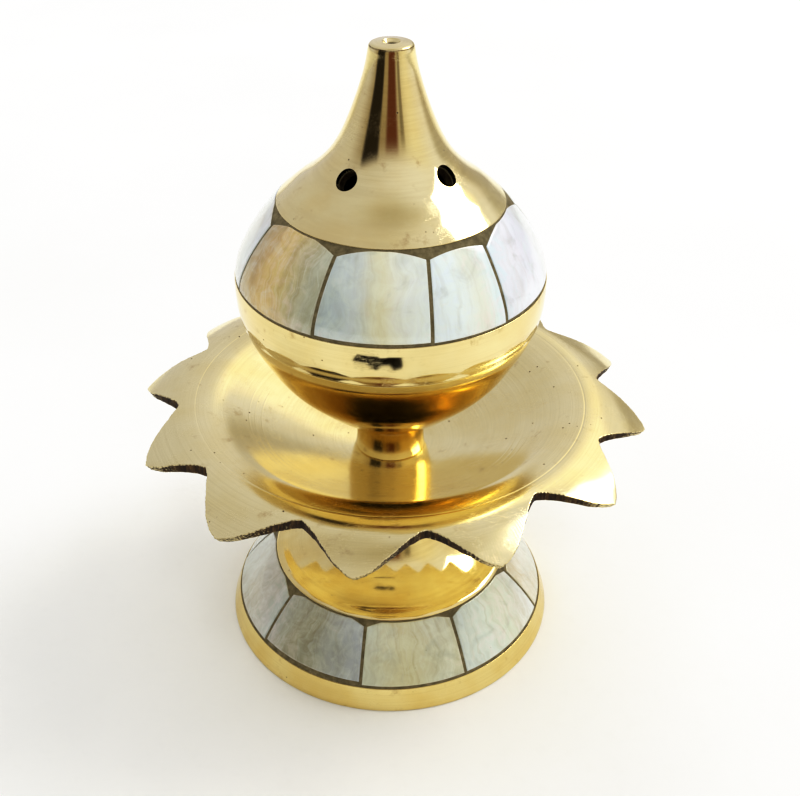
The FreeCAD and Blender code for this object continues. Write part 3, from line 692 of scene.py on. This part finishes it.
# ================================================================== the tray
TEETH = [(-67.3, 40.05), (-37.2, 40.30), (-7.0, 40.35), (22.0, 40.55), (53.0, 40.75), (83.0, 40.85), (110.6, 40.60),
         (141.5, 40.40), (171.3, 40.50), (202.4, 40.45), (232.3, 40.40), (262.0, 40.70)]
NOTCH = [(-53.8, 33.55), (-21.4, 33.75), (8.4, 33.85), (38.8, 32.90), (68.6, 33.95), (97.2, 34.05), (126.2, 33.80),
         (156.4, 33.70), (186.6, 33.90), (217.4, 33.60), (247.2, 33.80), (276.2, 33.65)]
# how each tooth was bent by hand: droop at the tip (mm), where the bend sits (mm), twist (mm)
BENDS = [(0.25, 0.9, 0.25), (0.05, -0.6, -0.20), (0.10, 0.0, 0.12), (-0.10, 0.3, 0.10), (-0.25, -0.3, 0.22), (0.20, -0.2, -0.30),
         (0.0, 0.4, 0.15), (0.15, -0.4, -0.1), (-0.15, 0.2, 0.2), (0.1, 0.5, -0.15), (-0.1, -0.5, 0.1), (0.05, 0.2, -0.2)]
tray_top = [(5.65, 33.9), (7.0, 34.22), (9.0, 34.76), (11.5, 35.54), (14.0, 36.48), (17.0, 37.77), (20.0, 39.20),
            (22.5, 40.49), (24.3, 41.46), (25.5, 42.11), (26.3, 42.52), (27.1, 42.86), (28.0, 43.15), (29.0, 43.38),
            (30.0, 43.55), (31.1, 43.67), (32.2, 43.71), (33.2, 43.65), (34.3, 43.45), (35.5, 43.13), (37.0, 42.58),
            (38.6, 41.79), (40.2, 40.78), (41.6, 39.73), (43.0, 38.57)]


def rise(t):
    return 0.42 * t + 0.29 * (1 - math.cos(pi * t))


def rim_tables():
    azs, rs, tips = [], [], []
    for i in range(12):
        ta, tr = TEETH[i]; na, nr = NOTCH[i]; xa, xr = TEETH[(i + 1) % 12]
        if i == 11:
            xa += 360.0
        for k in range(24):
            s = k / 24.0
            azs.append(ta + (na - ta) * s); rs.append(nr + (tr - nr) * (1 - rise(s))); tips.append((i, -s))
        for k in range(24):
            s = k / 24.0
            azs.append(na + (xa - na) * s); rs.append(nr + (xr - nr) * rise(s)); tips.append(((i + 1) % 12, 1 - s))
    return np.array(azs), np.array(rs), tips


def hnoise(v, seed):
    """smooth repeatable 1-D noise"""
    i = np.floor(v).astype(int); f = v - i; f = f * f * (3 - 2 * f)

    def h(k):
        x = np.sin((k + seed * 57.31) * 12.9898) * 43758.5453
        return x - np.floor(x)
    return h(i) * (1 - f) + h(i + 1) * f


def build_tray():
    azs, rs, tips = rim_tables()
    N = len(azs)                                  # 576 round the rim
    SUB = 4
    q = np.linspace(0, N, N * SUB, endpoint=False)
    az = np.interp(q, np.arange(N + 1), np.r_[azs, azs[0] + 360])
    R = np.interp(q, np.arange(N + 1), np.r_[rs, rs[0]])
    R = (np.roll(R, 1) + 2 * R + np.roll(R, -1)) / 4
    tip_i = [tips[int(k)][0] for k in q]
    sgn = np.interp(q, np.arange(N), [t[1] for t in tips])
    sgn = np.array([tips[int(k)][1] + (k - int(k)) / 24.0 for k in q])
    W = len(az)
    # piercing-saw wander of the edge, and its teeth marks
    arc = np.radians(az) * 37.0
    R = R + (hnoise(arc * 1.1, 3) - 0.5) * 0.12 + (hnoise(arc * 3.1, 7) - 0.5) * 0.07
    saw = (hnoise(arc * 6.5, 41) - 0.5) * 0.07 + 0.030 * np.sin(arc * 14.0 + 3 * hnoise(arc * 0.9, 5))
    T = spl(tray_top, n=1200)
    # fine lines turned into the dish and one more near the crest
    zt = lambda r: np.interp(r, T[:, 0], T[:, 1])
    droop = np.array([BENDS[i][0] for i in tip_i]); shift = np.array([BENDS[i][1] for i in tip_i]); tw = np.array([BENDS[i][2] for i in tip_i])
    # fade the per-tooth bends out at the notches
    fade = 1 - np.abs(sgn); fade = fade * fade * (3 - 2 * fade)
    aR = np.radians(az)

    def top_z(r):
        z = np.where(r > 5.65, zt(r), 33.9)
        k = np.clip((r - 33.0 - shift * 0.5) / 6.5, 0, 1)
        k = k * k * (3 - 2 * k) * 0.5 + k * 0.5 * k
        # slight hand-beaten waviness outside the crest
        wob = 0.05 * np.sin(aR * 7 + 1.3) * np.clip((r - 31) / 4, 0, 1) + 0.035 * np.sin(aR * 17 + r * 0.9) * np.clip((r - 33) / 3, 0, 1)
        return z - (droop * k + tw * sgn * k * 0.9) * fade + wob

    def line(r, c, w, d):
        return -d * np.exp(-((r - c) / w) ** 2)
    # plate thickness falls off from the left side to the right and thins at the tips
    th0 = 1.60 + 0.22 * np.cos(aR + 1.3)
    # radial stations: dense at the turned lines, the crest and the bend
    base = np.unique(np.round(np.concatenate([np.linspace(2.6, 5.65, 4), np.linspace(5.8, 9, 14), np.linspace(9.4, 30, 60),
                                              np.linspace(20.4, 23.2, 40), np.linspace(25.0, 31.8, 40),
                                              np.linspace(30.6, 31.4, 12)]), 4))
    n_out = 30
    rows_r, rows_z = [], []
    for r in base:
        rr = np.full(W, r)
        g = line(r, 20.9, 0.05, 0.012) + line(r, 21.9, 0.05, 0.014) + line(r, 22.8, 0.06, 0.012) + line(r, 31.0, 0.10, 0.030)
        rows_r.append(rr); rows_z.append(top_z(rr) + g)
    for k in range(1, n_out + 1):
        f = k / n_out
        f = 1 - (1 - f) ** 1.25
        rr = 31.8 + (R - 0.12 - 31.8) * f
        rows_r.append(rr); rows_z.append(top_z(rr))
    top_rows = len(rows_r)
    # local slope of the plate at the edge: the saw cut stands square to the plate
    dr = 0.1
    slope = (top_z(R + dr) - top_z(R - dr)) / (2 * dr)
    sq = np.sqrt(1 + slope * slope)
    out_k = np.clip((R - 33.6) / 6.0, 0, 1)
    th = th0 * (1 - 0.30 * out_k)
    # (moving down the wall by th along the plate's own normal)
    nr_, nz_ = slope / sq, -1 / sq
    lean = 0.15 + 0.85 * out_k
    e1 = (hnoise(arc * 5.3, 11) - 0.5); e2 = (hnoise(arc * 9.1, 23) - 0.5); e3 = (hnoise(arc * 6.7, 31) - 0.5)
    zR = top_z(R)
    rows_r.append(R - 0.04 + saw * 0.6); rows_z.append(zR + 0.015 + 0.02 * e1)
    rows_r.append(R + 0.01 + saw); rows_z.append(zR - 0.07 + 0.03 * e2)
    for f, e in ((0.10, saw * 8), (0.24, e1 + saw * 8), (0.40, e2 + saw * 8), (0.56, e3 + saw * 6), (0.72, e1 * e2 * 3 + saw * 8), (0.86, e2 + saw * 6), (0.97, e3 * 0.5)):
        d = th * f
        rows_r.append(R + lean * nr_ * d + 0.11 * e - 0.03); rows_z.append(zR + (nz_ * lean - (1 - lean)) * d + 0.05 * e3)
    lowR = R + lean * nr_ * th - 0.10
    lowz = zR + (nz_ * lean - (1 - lean)) * th - 0.02

    def under(r, t):
        dd = 0.05
        zz = top_z(r); sl = (top_z(r + dd) - top_z(r - dd)) / (2 * dd)
        return zz - t * np.sqrt(1 + sl * sl)
    rows_r.append(lowR); rows_z.append(lowz)
    m_out = 18
    shiftz = lowz - under(lowR, th)
    for k in range(1, m_out + 1):
        f = 1 - k / m_out
        rr = 30.5 + (lowR - 30.5) * f
        rows_r.append(rr); rows_z.append(under(rr, th0 + (th - th0) * f) + shiftz * f ** 3)
    for r in np.linspace(29.5, 11.5, 24):
        rr = np.full(W, r)
        t = 1.7 + (th0 - 1.7) * np.clip((r - 12) / 15, 0, 1)
        rows_r.append(rr); rows_z.append(under(rr, t))
    for r, zb in ((10.62, 33.1), (10.2, 32.2), (9.75, 31.3), (9.46, 30.70), (9.3, 30.6), (6.0, 30.6), (2.6, 30.6)):
        rows_r.append(np.full(W, r)); rows_z.append(np.full(W, zb))
    RR = np.array(rows_r); ZZ = np.array(rows_z)
    X = RR * np.sin(aR); Y = -RR * np.cos(aR)
    V = np.stack([X, Y, ZZ], -1).reshape(-1, 3) * U
    H = len(rows_r)
    i = np.arange(H)[:, None]; k = np.arange(W)[None, :]
    i2 = (i + 1) % H; k2 = (k + 1) % W
    F = np.stack([i * W + k + 0 * k2, i2 * W + k, i2 * W + k2, i * W + k2], -1).reshape(-1, 4)
    return fast_mesh("sun_tray_brass", V, F, [M_TRAY])


tray_hi = build_tray()

# ================================================================= the tiles
FOOT_CUTS = [(-100.0, -99.0), (-51.8, -52.3), (-11.1, -10.4), (28.9, 28.0), (70.3, 72.0), (118.0, 117.0), (165.0, 166.2), (212.4, 211.2)]
FOOT_SKEW = [(0.10, -60), (0.55, -13), (0.12, 26), (0.18, 34), (0.20, 110), (0.35, 160), (0.15, 170), (0.30, 250)]
LID_CUTS = [(-68.5, -70.5), (-24.7, -27.2), (16.2, 14.1), (45.3, 43.9), (94.0, 96.0), (143.0, 141.5), (191.0, 192.6), (241.5, 240.0)]
LID_SKEW = [(0.06, -40), (0.22, -22), (0.08, 30), (0.22, 47), (0.10, 100), (0.20, 150), (0.12, 200), (0.16, 280)]


def tile_mesh(name, curve, a, b, r_top, r_bot, chord, low_fn, top_gap, mat, seed, gap=0.25, nu=44, nv=34):
    """one shell tile: outer face on the turned curve, straight side cuts, straight (chord) top, rounded arrises"""
    C = np.array(curve)
    L = np.r_[0, np.cumsum(np.hypot(*np.diff(C, axis=0).T))]
    tot = L[-1]
    mid = 0.5 * (a[0] + b[0])
    TN = np.gradient(C, axis=0); TN /= np.hypot(TN[:, 0], TN[:, 1])[:, None]
    NR = np.stack([TN[:, 1], -TN[:, 0]], 1)
    if NR[len(NR) // 2][0] < 0:
        NR = -NR

    def P(s):
        return np.interp(s, L, C[:, 0]), np.interp(s, L, C[:, 1])

    def Nn(s):
        u, v = np.interp(s, L, NR[:, 0]), np.interp(s, L, NR[:, 1])
        q = np.hypot(u, v)
        return u / q, v / q

    def az_side(c, s, sign):
        # straight cut in plan between (r_top, az_top) and (r_bot, az_bot), moved in by the joint
        r = P(s)[0]
        p0 = (r_top * sin(rad(c[0])), -r_top * cos(rad(c[0])))
        p1 = (r_bot * sin(rad(c[1])), -r_bot * cos(rad(c[1])))
        f = (r - r_top) / (r_bot - r_top)
        qx = p0[0] + (p1[0] - p0[0]) * f; qy = p0[1] + (p1[1] - p0[1]) * f
        azd = np.degrees(np.arctan2(qx, -qy))
        azd = azd + 360.0 * np.round((c[0] - azd) / 360.0)
        return azd + sign * np.degrees(gap / r)

    def s_top(az):
        # where the turned surface meets the chord plane
        want = chord / np.maximum(0.2, np.cos(np.radians(az - mid)))
        return np.minimum(tot - top_gap, np.interp(want, C[::-1, 0], L[::-1]))
    e = 0.22
    us = np.r_[0, 0.10, 0.3, 0.6, 1.0, 1.6] * e
    width = rad(b[0] - a[0]) * 0.5 * (r_top + r_bot)
    height = tot
    fu = us / width; fv = us / height
    U_ = np.unique(np.round(np.r_[fu, np.linspace(fu[-1], 1 - fu[-1], nu), 1 - fu], 6))
    V_ = np.unique(np.round(np.r_[fv, np.linspace(fv[-1], 1 - fv[-1], nv), 1 - fv], 6))
    uu, vv = np.meshgrid(U_, V_)
    s = np.full(uu.shape, tot * 0.5)
    for _ in range(7):
        al = az_side(a, s, +1); ar = az_side(b, s, -1)
        az = al + (ar - al) * uu
        st = s_top(az); sb = low_fn(az)
        s = sb + (st - sb) * vv
    pr, pz = P(s); nr, nz = Nn(s)
    du = np.minimum(uu, 1 - uu) * width; dv = np.minimum(vv, 1 - vv) * height

    def rnd(d):
        d = np.minimum(d, e)
        return e - np.sqrt(np.maximum(0.0, e * e - (e - d) ** 2))
    dep = np.maximum(rnd(du), rnd(dv)) * 0.55
    # hand-polished unevenness, and each tile a little flatter than the ball
    und = 0.020 * np.sin(uu * 5.1 + seed) * np.sin(vv * 4.3 + seed * 1.7) + 0.012 * np.sin(uu * 11.0 + seed * 2.3 + vv * 3)
    flat = 0.10 * (1 - (2 * uu - 1) ** 2) * (0.4 + 0.6 * (1 - (2 * vv - 1) ** 2))
    dd = dep + flat * 0.6 + und * np.where(dep < 0.01, 1.0, 0.3)
    azr = np.radians(az)
    orr = pr - nr * dd; oz = pz - nz * dd
    outer = np.stack([orr * np.sin(azr), -orr * np.cos(azr), oz], -1).reshape(-1, 3)
    irr = pr - nr * TILE_T; iz = pz - nz * TILE_T
    innr = np.stack([irr * np.sin(azr), -irr * np.cos(azr), iz], -1).reshape(-1, 3)
    verts = np.vstack([outer, innr]) * U
    H, W = len(V_), len(U_)
    inner0 = H * W
    faces = []
    idx = lambda i, j, o=0: o + i * W + j
    for i in range(H - 1):
        for j in range(W - 1):
            faces.append((idx(i, j), idx(i, j + 1), idx(i + 1, j + 1), idx(i + 1, j)))
            faces.append((idx(i, j, inner0), idx(i + 1, j, inner0), idx(i + 1, j + 1, inner0), idx(i, j + 1, inner0)))
    for j in range(W - 1):
        faces.append((idx(0, j + 1), idx(0, j), idx(0, j, inner0), idx(0, j + 1, inner0)))
        faces.append((idx(H - 1, j), idx(H - 1, j + 1), idx(H - 1, j + 1, inner0), idx(H - 1, j, inner0)))
    for i in range(H - 1):
        faces.append((idx(i, 0), idx(i + 1, 0), idx(i + 1, 0, inner0), idx(i, 0, inner0)))
        faces.append((idx(i + 1, W - 1), idx(i, W - 1), idx(i, W - 1, inner0), idx(i + 1, W - 1, inner0)))
    return add_mesh(name, verts, faces, [mat])


# shell colours, one list of bands per tile, left to right across the tile
LID_COLS = [
    [(0.0, lin((170, 156, 118))), (0.25, lin((196, 170, 100))), (0.45, lin((214, 190, 124))), (0.62, lin((192, 174, 124))), (0.85, lin((190, 190, 176))), (1.0, lin((176, 168, 138)))],
    [(0.0, lin((186, 192, 190))), (0.3, lin((208, 212, 210))), (0.5, lin((222, 212, 168))), (0.66, lin((226, 222, 202))), (0.85, lin((230, 234, 230))), (1.0, lin((218, 222, 216)))],
    [(0.0, lin((222, 228, 230))), (0.35, lin((232, 238, 240))), (0.6, lin((226, 222, 200))), (0.8, lin((226, 234, 236))), (1.0, lin((216, 226, 230)))],
    [(0.0, lin((212, 220, 228))), (0.3, lin((230, 234, 240))), (0.55, lin((222, 224, 236))), (0.8, lin((206, 206, 200))), (1.0, lin((222, 226, 232)))],
    [(0.0, lin((222, 226, 228))), (0.4, lin((206, 204, 188))), (0.7, lin((226, 232, 236))), (1.0, lin((200, 208, 214)))],
    [(0.0, lin((198, 186, 140))), (0.35, lin((214, 206, 178))), (0.7, lin((222, 228, 230))), (1.0, lin((208, 210, 200)))],
    [(0.0, lin((206, 214, 218))), (0.3, lin((226, 230, 232))), (0.6, lin((202, 190, 146))), (1.0, lin((216, 220, 216)))],
    [(0.0, lin((214, 222, 228))), (0.4, lin((226, 228, 226))), (0.75, lin((204, 200, 184))), (1.0, lin((222, 228, 232)))],
]
FOOT_COLS = [
    [(0.0, lin((176, 180, 174))), (0.4, lin((196, 196, 182))), (0.75, lin((180, 178, 160))), (1.0, lin((188, 192, 190)))],
    [(0.0, lin((176, 176, 170))), (0.35, lin((160, 152, 122))), (0.6, lin((182, 178, 164))), (1.0, lin((176, 180, 186)))],
    [(0.0, lin((196, 198, 184))), (0.3, lin((214, 206, 170))), (0.55, lin((204, 196, 158))), (0.8, lin((206, 204, 186))), (1.0, lin((196, 190, 160)))],
    [(0.0, lin((196, 200, 194))), (0.35, lin((216, 222, 214))), (0.6, lin((206, 206, 176))), (1.0, lin((214, 220, 218)))],
    [(0.0, lin((206, 198, 168))), (0.4, lin((216, 214, 196))), (1.0, lin((200, 206, 206)))],
    [(0.0, lin((190, 194, 192))), (0.45, lin((206, 196, 150))), (1.0, lin((204, 210, 212)))],
    [(0.0, lin((204, 210, 212))), (0.5, lin((186, 180, 156))), (1.0, lin((198, 200, 190)))],
    [(0.0, lin((188, 184, 160))), (0.5, lin((208, 212, 210))), (1.0, lin((184, 188, 186)))],
]

tile_objs = []
for i in range(8):
    a = LID_CUTS[i]; b = LID_CUTS[(i + 1) % 8]
    if i == 7:
        b = (b[0] + 360.0, b[1] + 360.0)
    w = b[0] - a[0]
    chord = max(17.85 * cos(rad(w / 2.0)), 16.55)
    amt, saz = LID_SKEW[i]

    def low(az, amt=amt, saz=saz):
        return 0.24 + amt * 0.5 * (1 + np.cos(np.radians(az - saz)))
    warm = [0.75, 0.35, 0.3, 0.35, 0.4, 0.6, 0.5, 0.35][i]
    mat = pearl("lid_shell_%d" % (i + 1), a[0], b[0], LID_COLS[i], 3.0 + i * 5.3, streak=warm)
    ob = tile_mesh("lid_shell_tile_%d" % (i + 1), PL, a, b, 17.6, 23.0, chord, low, 0.24, mat, 1.3 + i * 2.1)
    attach(ob, "lid"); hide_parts("lid_pearl_%d" % (i + 1))
    tile_objs.append(ob)
for i in range(8):
    a = FOOT_CUTS[i]; b = FOOT_CUTS[(i + 1) % 8]
    if i == 7:
        b = (b[0] + 360.0, b[1] + 360.0)
    w = b[0] - a[0]
    chord = max(20.85 * cos(rad(w / 2.0)), 19.55)
    amt, saz = FOOT_SKEW[i]

    def low(az, amt=amt, saz=saz):
        return 0.28 + np.maximum(0.0, amt * np.cos(np.radians(az - saz)))
    mat = pearl("foot_shell_%d" % (i + 1), a[0], b[0], FOOT_COLS[i], 47.0 + i * 4.1, streak=0.55, rough=0.12)
    ob = tile_mesh("foot_shell_tile_%d" % (i + 1), PF, a, b, 20.4, 26.5, chord, low, 0.26, mat, 4.7 + i * 1.9)
    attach(ob, "burner"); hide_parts("base_pearl_%d" % (i + 1))
    tile_objs.append(ob)

# =============================================================== what rides on what
for ob, body, node in ((lid_hi, "lid", "lid_shell"), (bowl_hi, "burner", "bowl"), (tray_hi, "burner", "sun_tray"), (foot_hi, "burner", "base_shell")):
    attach(ob, body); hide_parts(node)


def paint(node, mat):
    o = NODES[node]
    o.data.materials.clear()
    o.data.materials.append(mat)
    o.data.polygons.foreach_set("use_smooth", [True] * len(o.data.polygons))


paint("lid_cement", M_CEM_L)
paint("base_cement", M_CEM_B)
paint("tie_stud", M_STUD)
paint("tie_washer", M_ZINC)
paint("tie_nut", M_ZINC)

# ==================================================================== the stage
def stage_plane(name, corners, mat, cam=True):
    ob = add_mesh(name, corners, [tuple(range(len(corners)))], [mat])
    if not cam:
        ob.visible_camera = False; ob.visible_diffuse = False; ob.visible_shadow = False
    return ob


FM, T = new_mat("pale_floor")
tc = T.node("ShaderNodeTexCoord")
pp = T.v("SCALE", tc.outputs["Object"], 1000.0)
n1 = T.noise(pp, 0.012, 4.0, 0.5); n2 = T.noise(pp, 0.35, 4.0, 0.6)
fc = T.mix(T.rng(n1, 0.3, 0.7), (0.83, 0.83, 0.825), (0.88, 0.88, 0.875))
fc = T.mix(T.rng(n2, 0.5, 0.8, 0.0, 0.10), fc, (0.74, 0.74, 0.72))
fb = T.node("ShaderNodeBsdfPrincipled")
T.put(fb.inputs["Base Color"], fc); fb.inputs["Roughness"].default_value = 0.75
T.put(fb.inputs["Normal"], T.bump(n2, 0.15, 0.0004))
finish_mat(T, fb)
stage_plane("floor", [(-3, -3, 0), (3, -3, 0), (3, 3, 0), (-3, 3, 0)], FM)


def area(name, loc, target, size, power, col=(1, 1, 1), size_y=None):
    L = bpy.data.lights.new(name, "AREA")
    L.shape = "RECTANGLE"; L.size = size; L.size_y = size_y or size
    L.energy = power; L.color = col
    o = bpy.data.objects.new(name, L)
    o.location = loc
    o.rotation_mode = "QUATERNION"
    o.rotation_quaternion = (Vector(loc) - Vector(target)).to_track_quat("Z", "Y")
    bpy.context.scene.collection.objects.link(o)
    return o


area("key_right", (0.75, 0.25, 0.85), (0, 0, 0.05), 0.55, 4.6, (1.0, 0.985, 0.96))
area("top_window", (0.12, -0.52, 0.95), (0, 0, 0.06), 0.16, 0.75, (0.95, 0.98, 1.0), 0.22).visible_glossy = False
area("fill_back", (-0.35, 0.8, 0.7), (0, 0, 0.05), 0.7, 2.6, (1, 1, 1)).visible_glossy = False

W = bpy.data.worlds.new("studio")
bpy.context.scene.world = W
W.use_nodes = True
T = Tree(W.node_tree)
tc = T.node("ShaderNodeTexCoord")
d = T.v("NORMALIZE", tc.outputs["Generated"])
dx, dy, dz = T.xyz(d)
elev = T.m("MULTIPLY", T.m("ARCSINE", dz), 180 / pi)
az = T.m("MULTIPLY", T.m("ARCTAN2", dx, T.m("MULTIPLY", dy, -1.0)), 180 / pi)
front = T.rng(T.m("ABSOLUTE", az), 55.0, 105.0, 1.0, 0.0)
lowe = T.rng(elev, 22.0, 44.0, 1.0, 0.0)
side = T.rng(dx, -0.8, 0.8, 0.74, 1.0)
level = T.mix(1.0, (0.84, 0.85, 0.98), T.vec(side, side, side), "MULTIPLY")
k = T.m("MULTIPLY", front, lowe)
level = T.mix(k, level, T.mix(T.rng(az, 0.0, 60.0), (0.36, 0.31, 0.24), (0.85, 0.82, 0.76)))
# a darker ceiling straight above, a dim low corner behind on the right and a bright patch over it
level = T.mix(T.rng(elev, 58.0, 90.0), level, (0.50, 0.48, 0.44))
corner = T.m("MULTIPLY", T.rng(T.m("ABSOLUTE", T.m("SUBTRACT", az, 140.0)), 24.0, 44.0, 1.0, 0.0), T.rng(elev, 12.0, 24.0, 1.0, 0.0))
level = T.mix(T.m("MULTIPLY", corner, 0.8), level, (0.44, 0.42, 0.38))
patch = T.m("MULTIPLY", T.rng(T.m("ABSOLUTE", T.m("SUBTRACT", az, 145.0)), 14.0, 34.0, 1.0, 0.0), T.rng(T.m("ABSOLUTE", T.m("SUBTRACT", elev, 40.0)), 6.0, 14.0, 1.0, 0.0))
level = T.mix(patch, level, (1.20, 1.17, 1.10))


def streak(col_in, a0, a1, soft, e0, e1, colour, amount):
    ka = T.m("MULTIPLY", T.rng(az, a0 - soft, a0 + soft), T.rng(az, a1 - soft, a1 + soft, 1.0, 0.0))
    ke = T.m("MULTIPLY", T.rng(elev, e0 - 4, e0 + 4), T.rng(elev, e1 - 6, e1 + 6, 1.0, 0.0))
    return T.mix(T.m("MULTIPLY", T.m("MULTIPLY", ka, ke), amount), col_in, colour)


level = streak(level, -66, -30, 4, -30, 34, (0.030, 0.022, 0.014), 0.96)
level = streak(level, -13, 16, 5, -30, 30, (0.17, 0.060, 0.026), 0.95)
level = streak(level, -28, -14, 3, -30, 22, (0.42, 0.36, 0.26), 0.7)
level = streak(level, 24, 34, 3, -30, 26, (0.10, 0.085, 0.04), 0.6)
bg = T.node("ShaderNodeBackground")
lp = T.node("ShaderNodeLightPath")
level = T.mix(lp.outputs["Is Glossy Ray"], (0.74, 0.735, 0.715), level)
T.put(bg.inputs[0], level); bg.inputs[1].default_value = 1.0
wo = T.node("ShaderNodeOutputWorld")
T.l.new(bg.outputs[0], wo.inputs[0])

# painted shadow: a dark sheet on the table in front of the burner stands in for the shadow cast there, seen only in its
# polish
SHADOW_M, T = new_mat("painted_shadow_card")
# near-black colour of the painted shadow sheet
shadow_bsdf = T.node("ShaderNodeBsdfDiffuse"); shadow_bsdf.inputs[0].default_value = (0.012, 0.009, 0.007, 1)
finish_mat(T, shadow_bsdf)
shadow_outline = [(-0.052, -0.130), (-0.020, -0.134), (-0.016, -0.124), (-0.006, -0.126), (-0.004, -0.133), (0.016, -0.130), (0.014, -0.100),
        (0.004, -0.097), (-0.002, -0.104), (-0.012, -0.102), (-0.016, -0.096), (-0.030, -0.101), (-0.046, -0.097)]
# the painted shadow's ragged outline, laid just above the floor
c = stage_plane("painted_table_shadow", [(x, y, 0.0006) for x, y in shadow_outline][::-1], SHADOW_M, cam=False)

cam_d = bpy.data.cameras.new("camera")
cam_d.sensor_width = 36.0
cam_d.lens = 1140.9 / 800.0 * 36.0
cam_d.clip_start = 0.005
cam = bpy.data.objects.new("camera", cam_d)
cam.rotation_mode = "QUATERNION"
Rm = Matrix.Rotation(rad(-0.573), 4, "Z") @ Matrix.Rotation(rad(90 - 34.373), 4, "X") @ Matrix.Rotation(rad(0.471), 4, "Z")
cam.location = (0.0, -0.15196, 0.14640)
cam.rotation_quaternion = Rm.to_quaternion()
bpy.context.scene.collection.objects.link(cam)
bpy.context.scene.camera = cam
bpy.context.scene.view_settings.view_transform = "Standard"
bpy.context.scene.view_settings.look = "None"
# a small camera's contrast curve
vs = bpy.context.scene.view_settings
vs.use_curve_mapping = True
cu = vs.curve_mapping.curves[3]
pts = [(0.0, 0.0), (0.085, 0.035), (0.20, 0.12), (0.34, 0.27), (0.50, 0.48), (0.70, 0.74), (0.90, 0.96)]
cu.points[0].location = pts[0]; cu.points[-1].location = (1.0, 1.0)
for q in pts[1:]:
    cu.points.new(*q)
vs.curve_mapping.update()
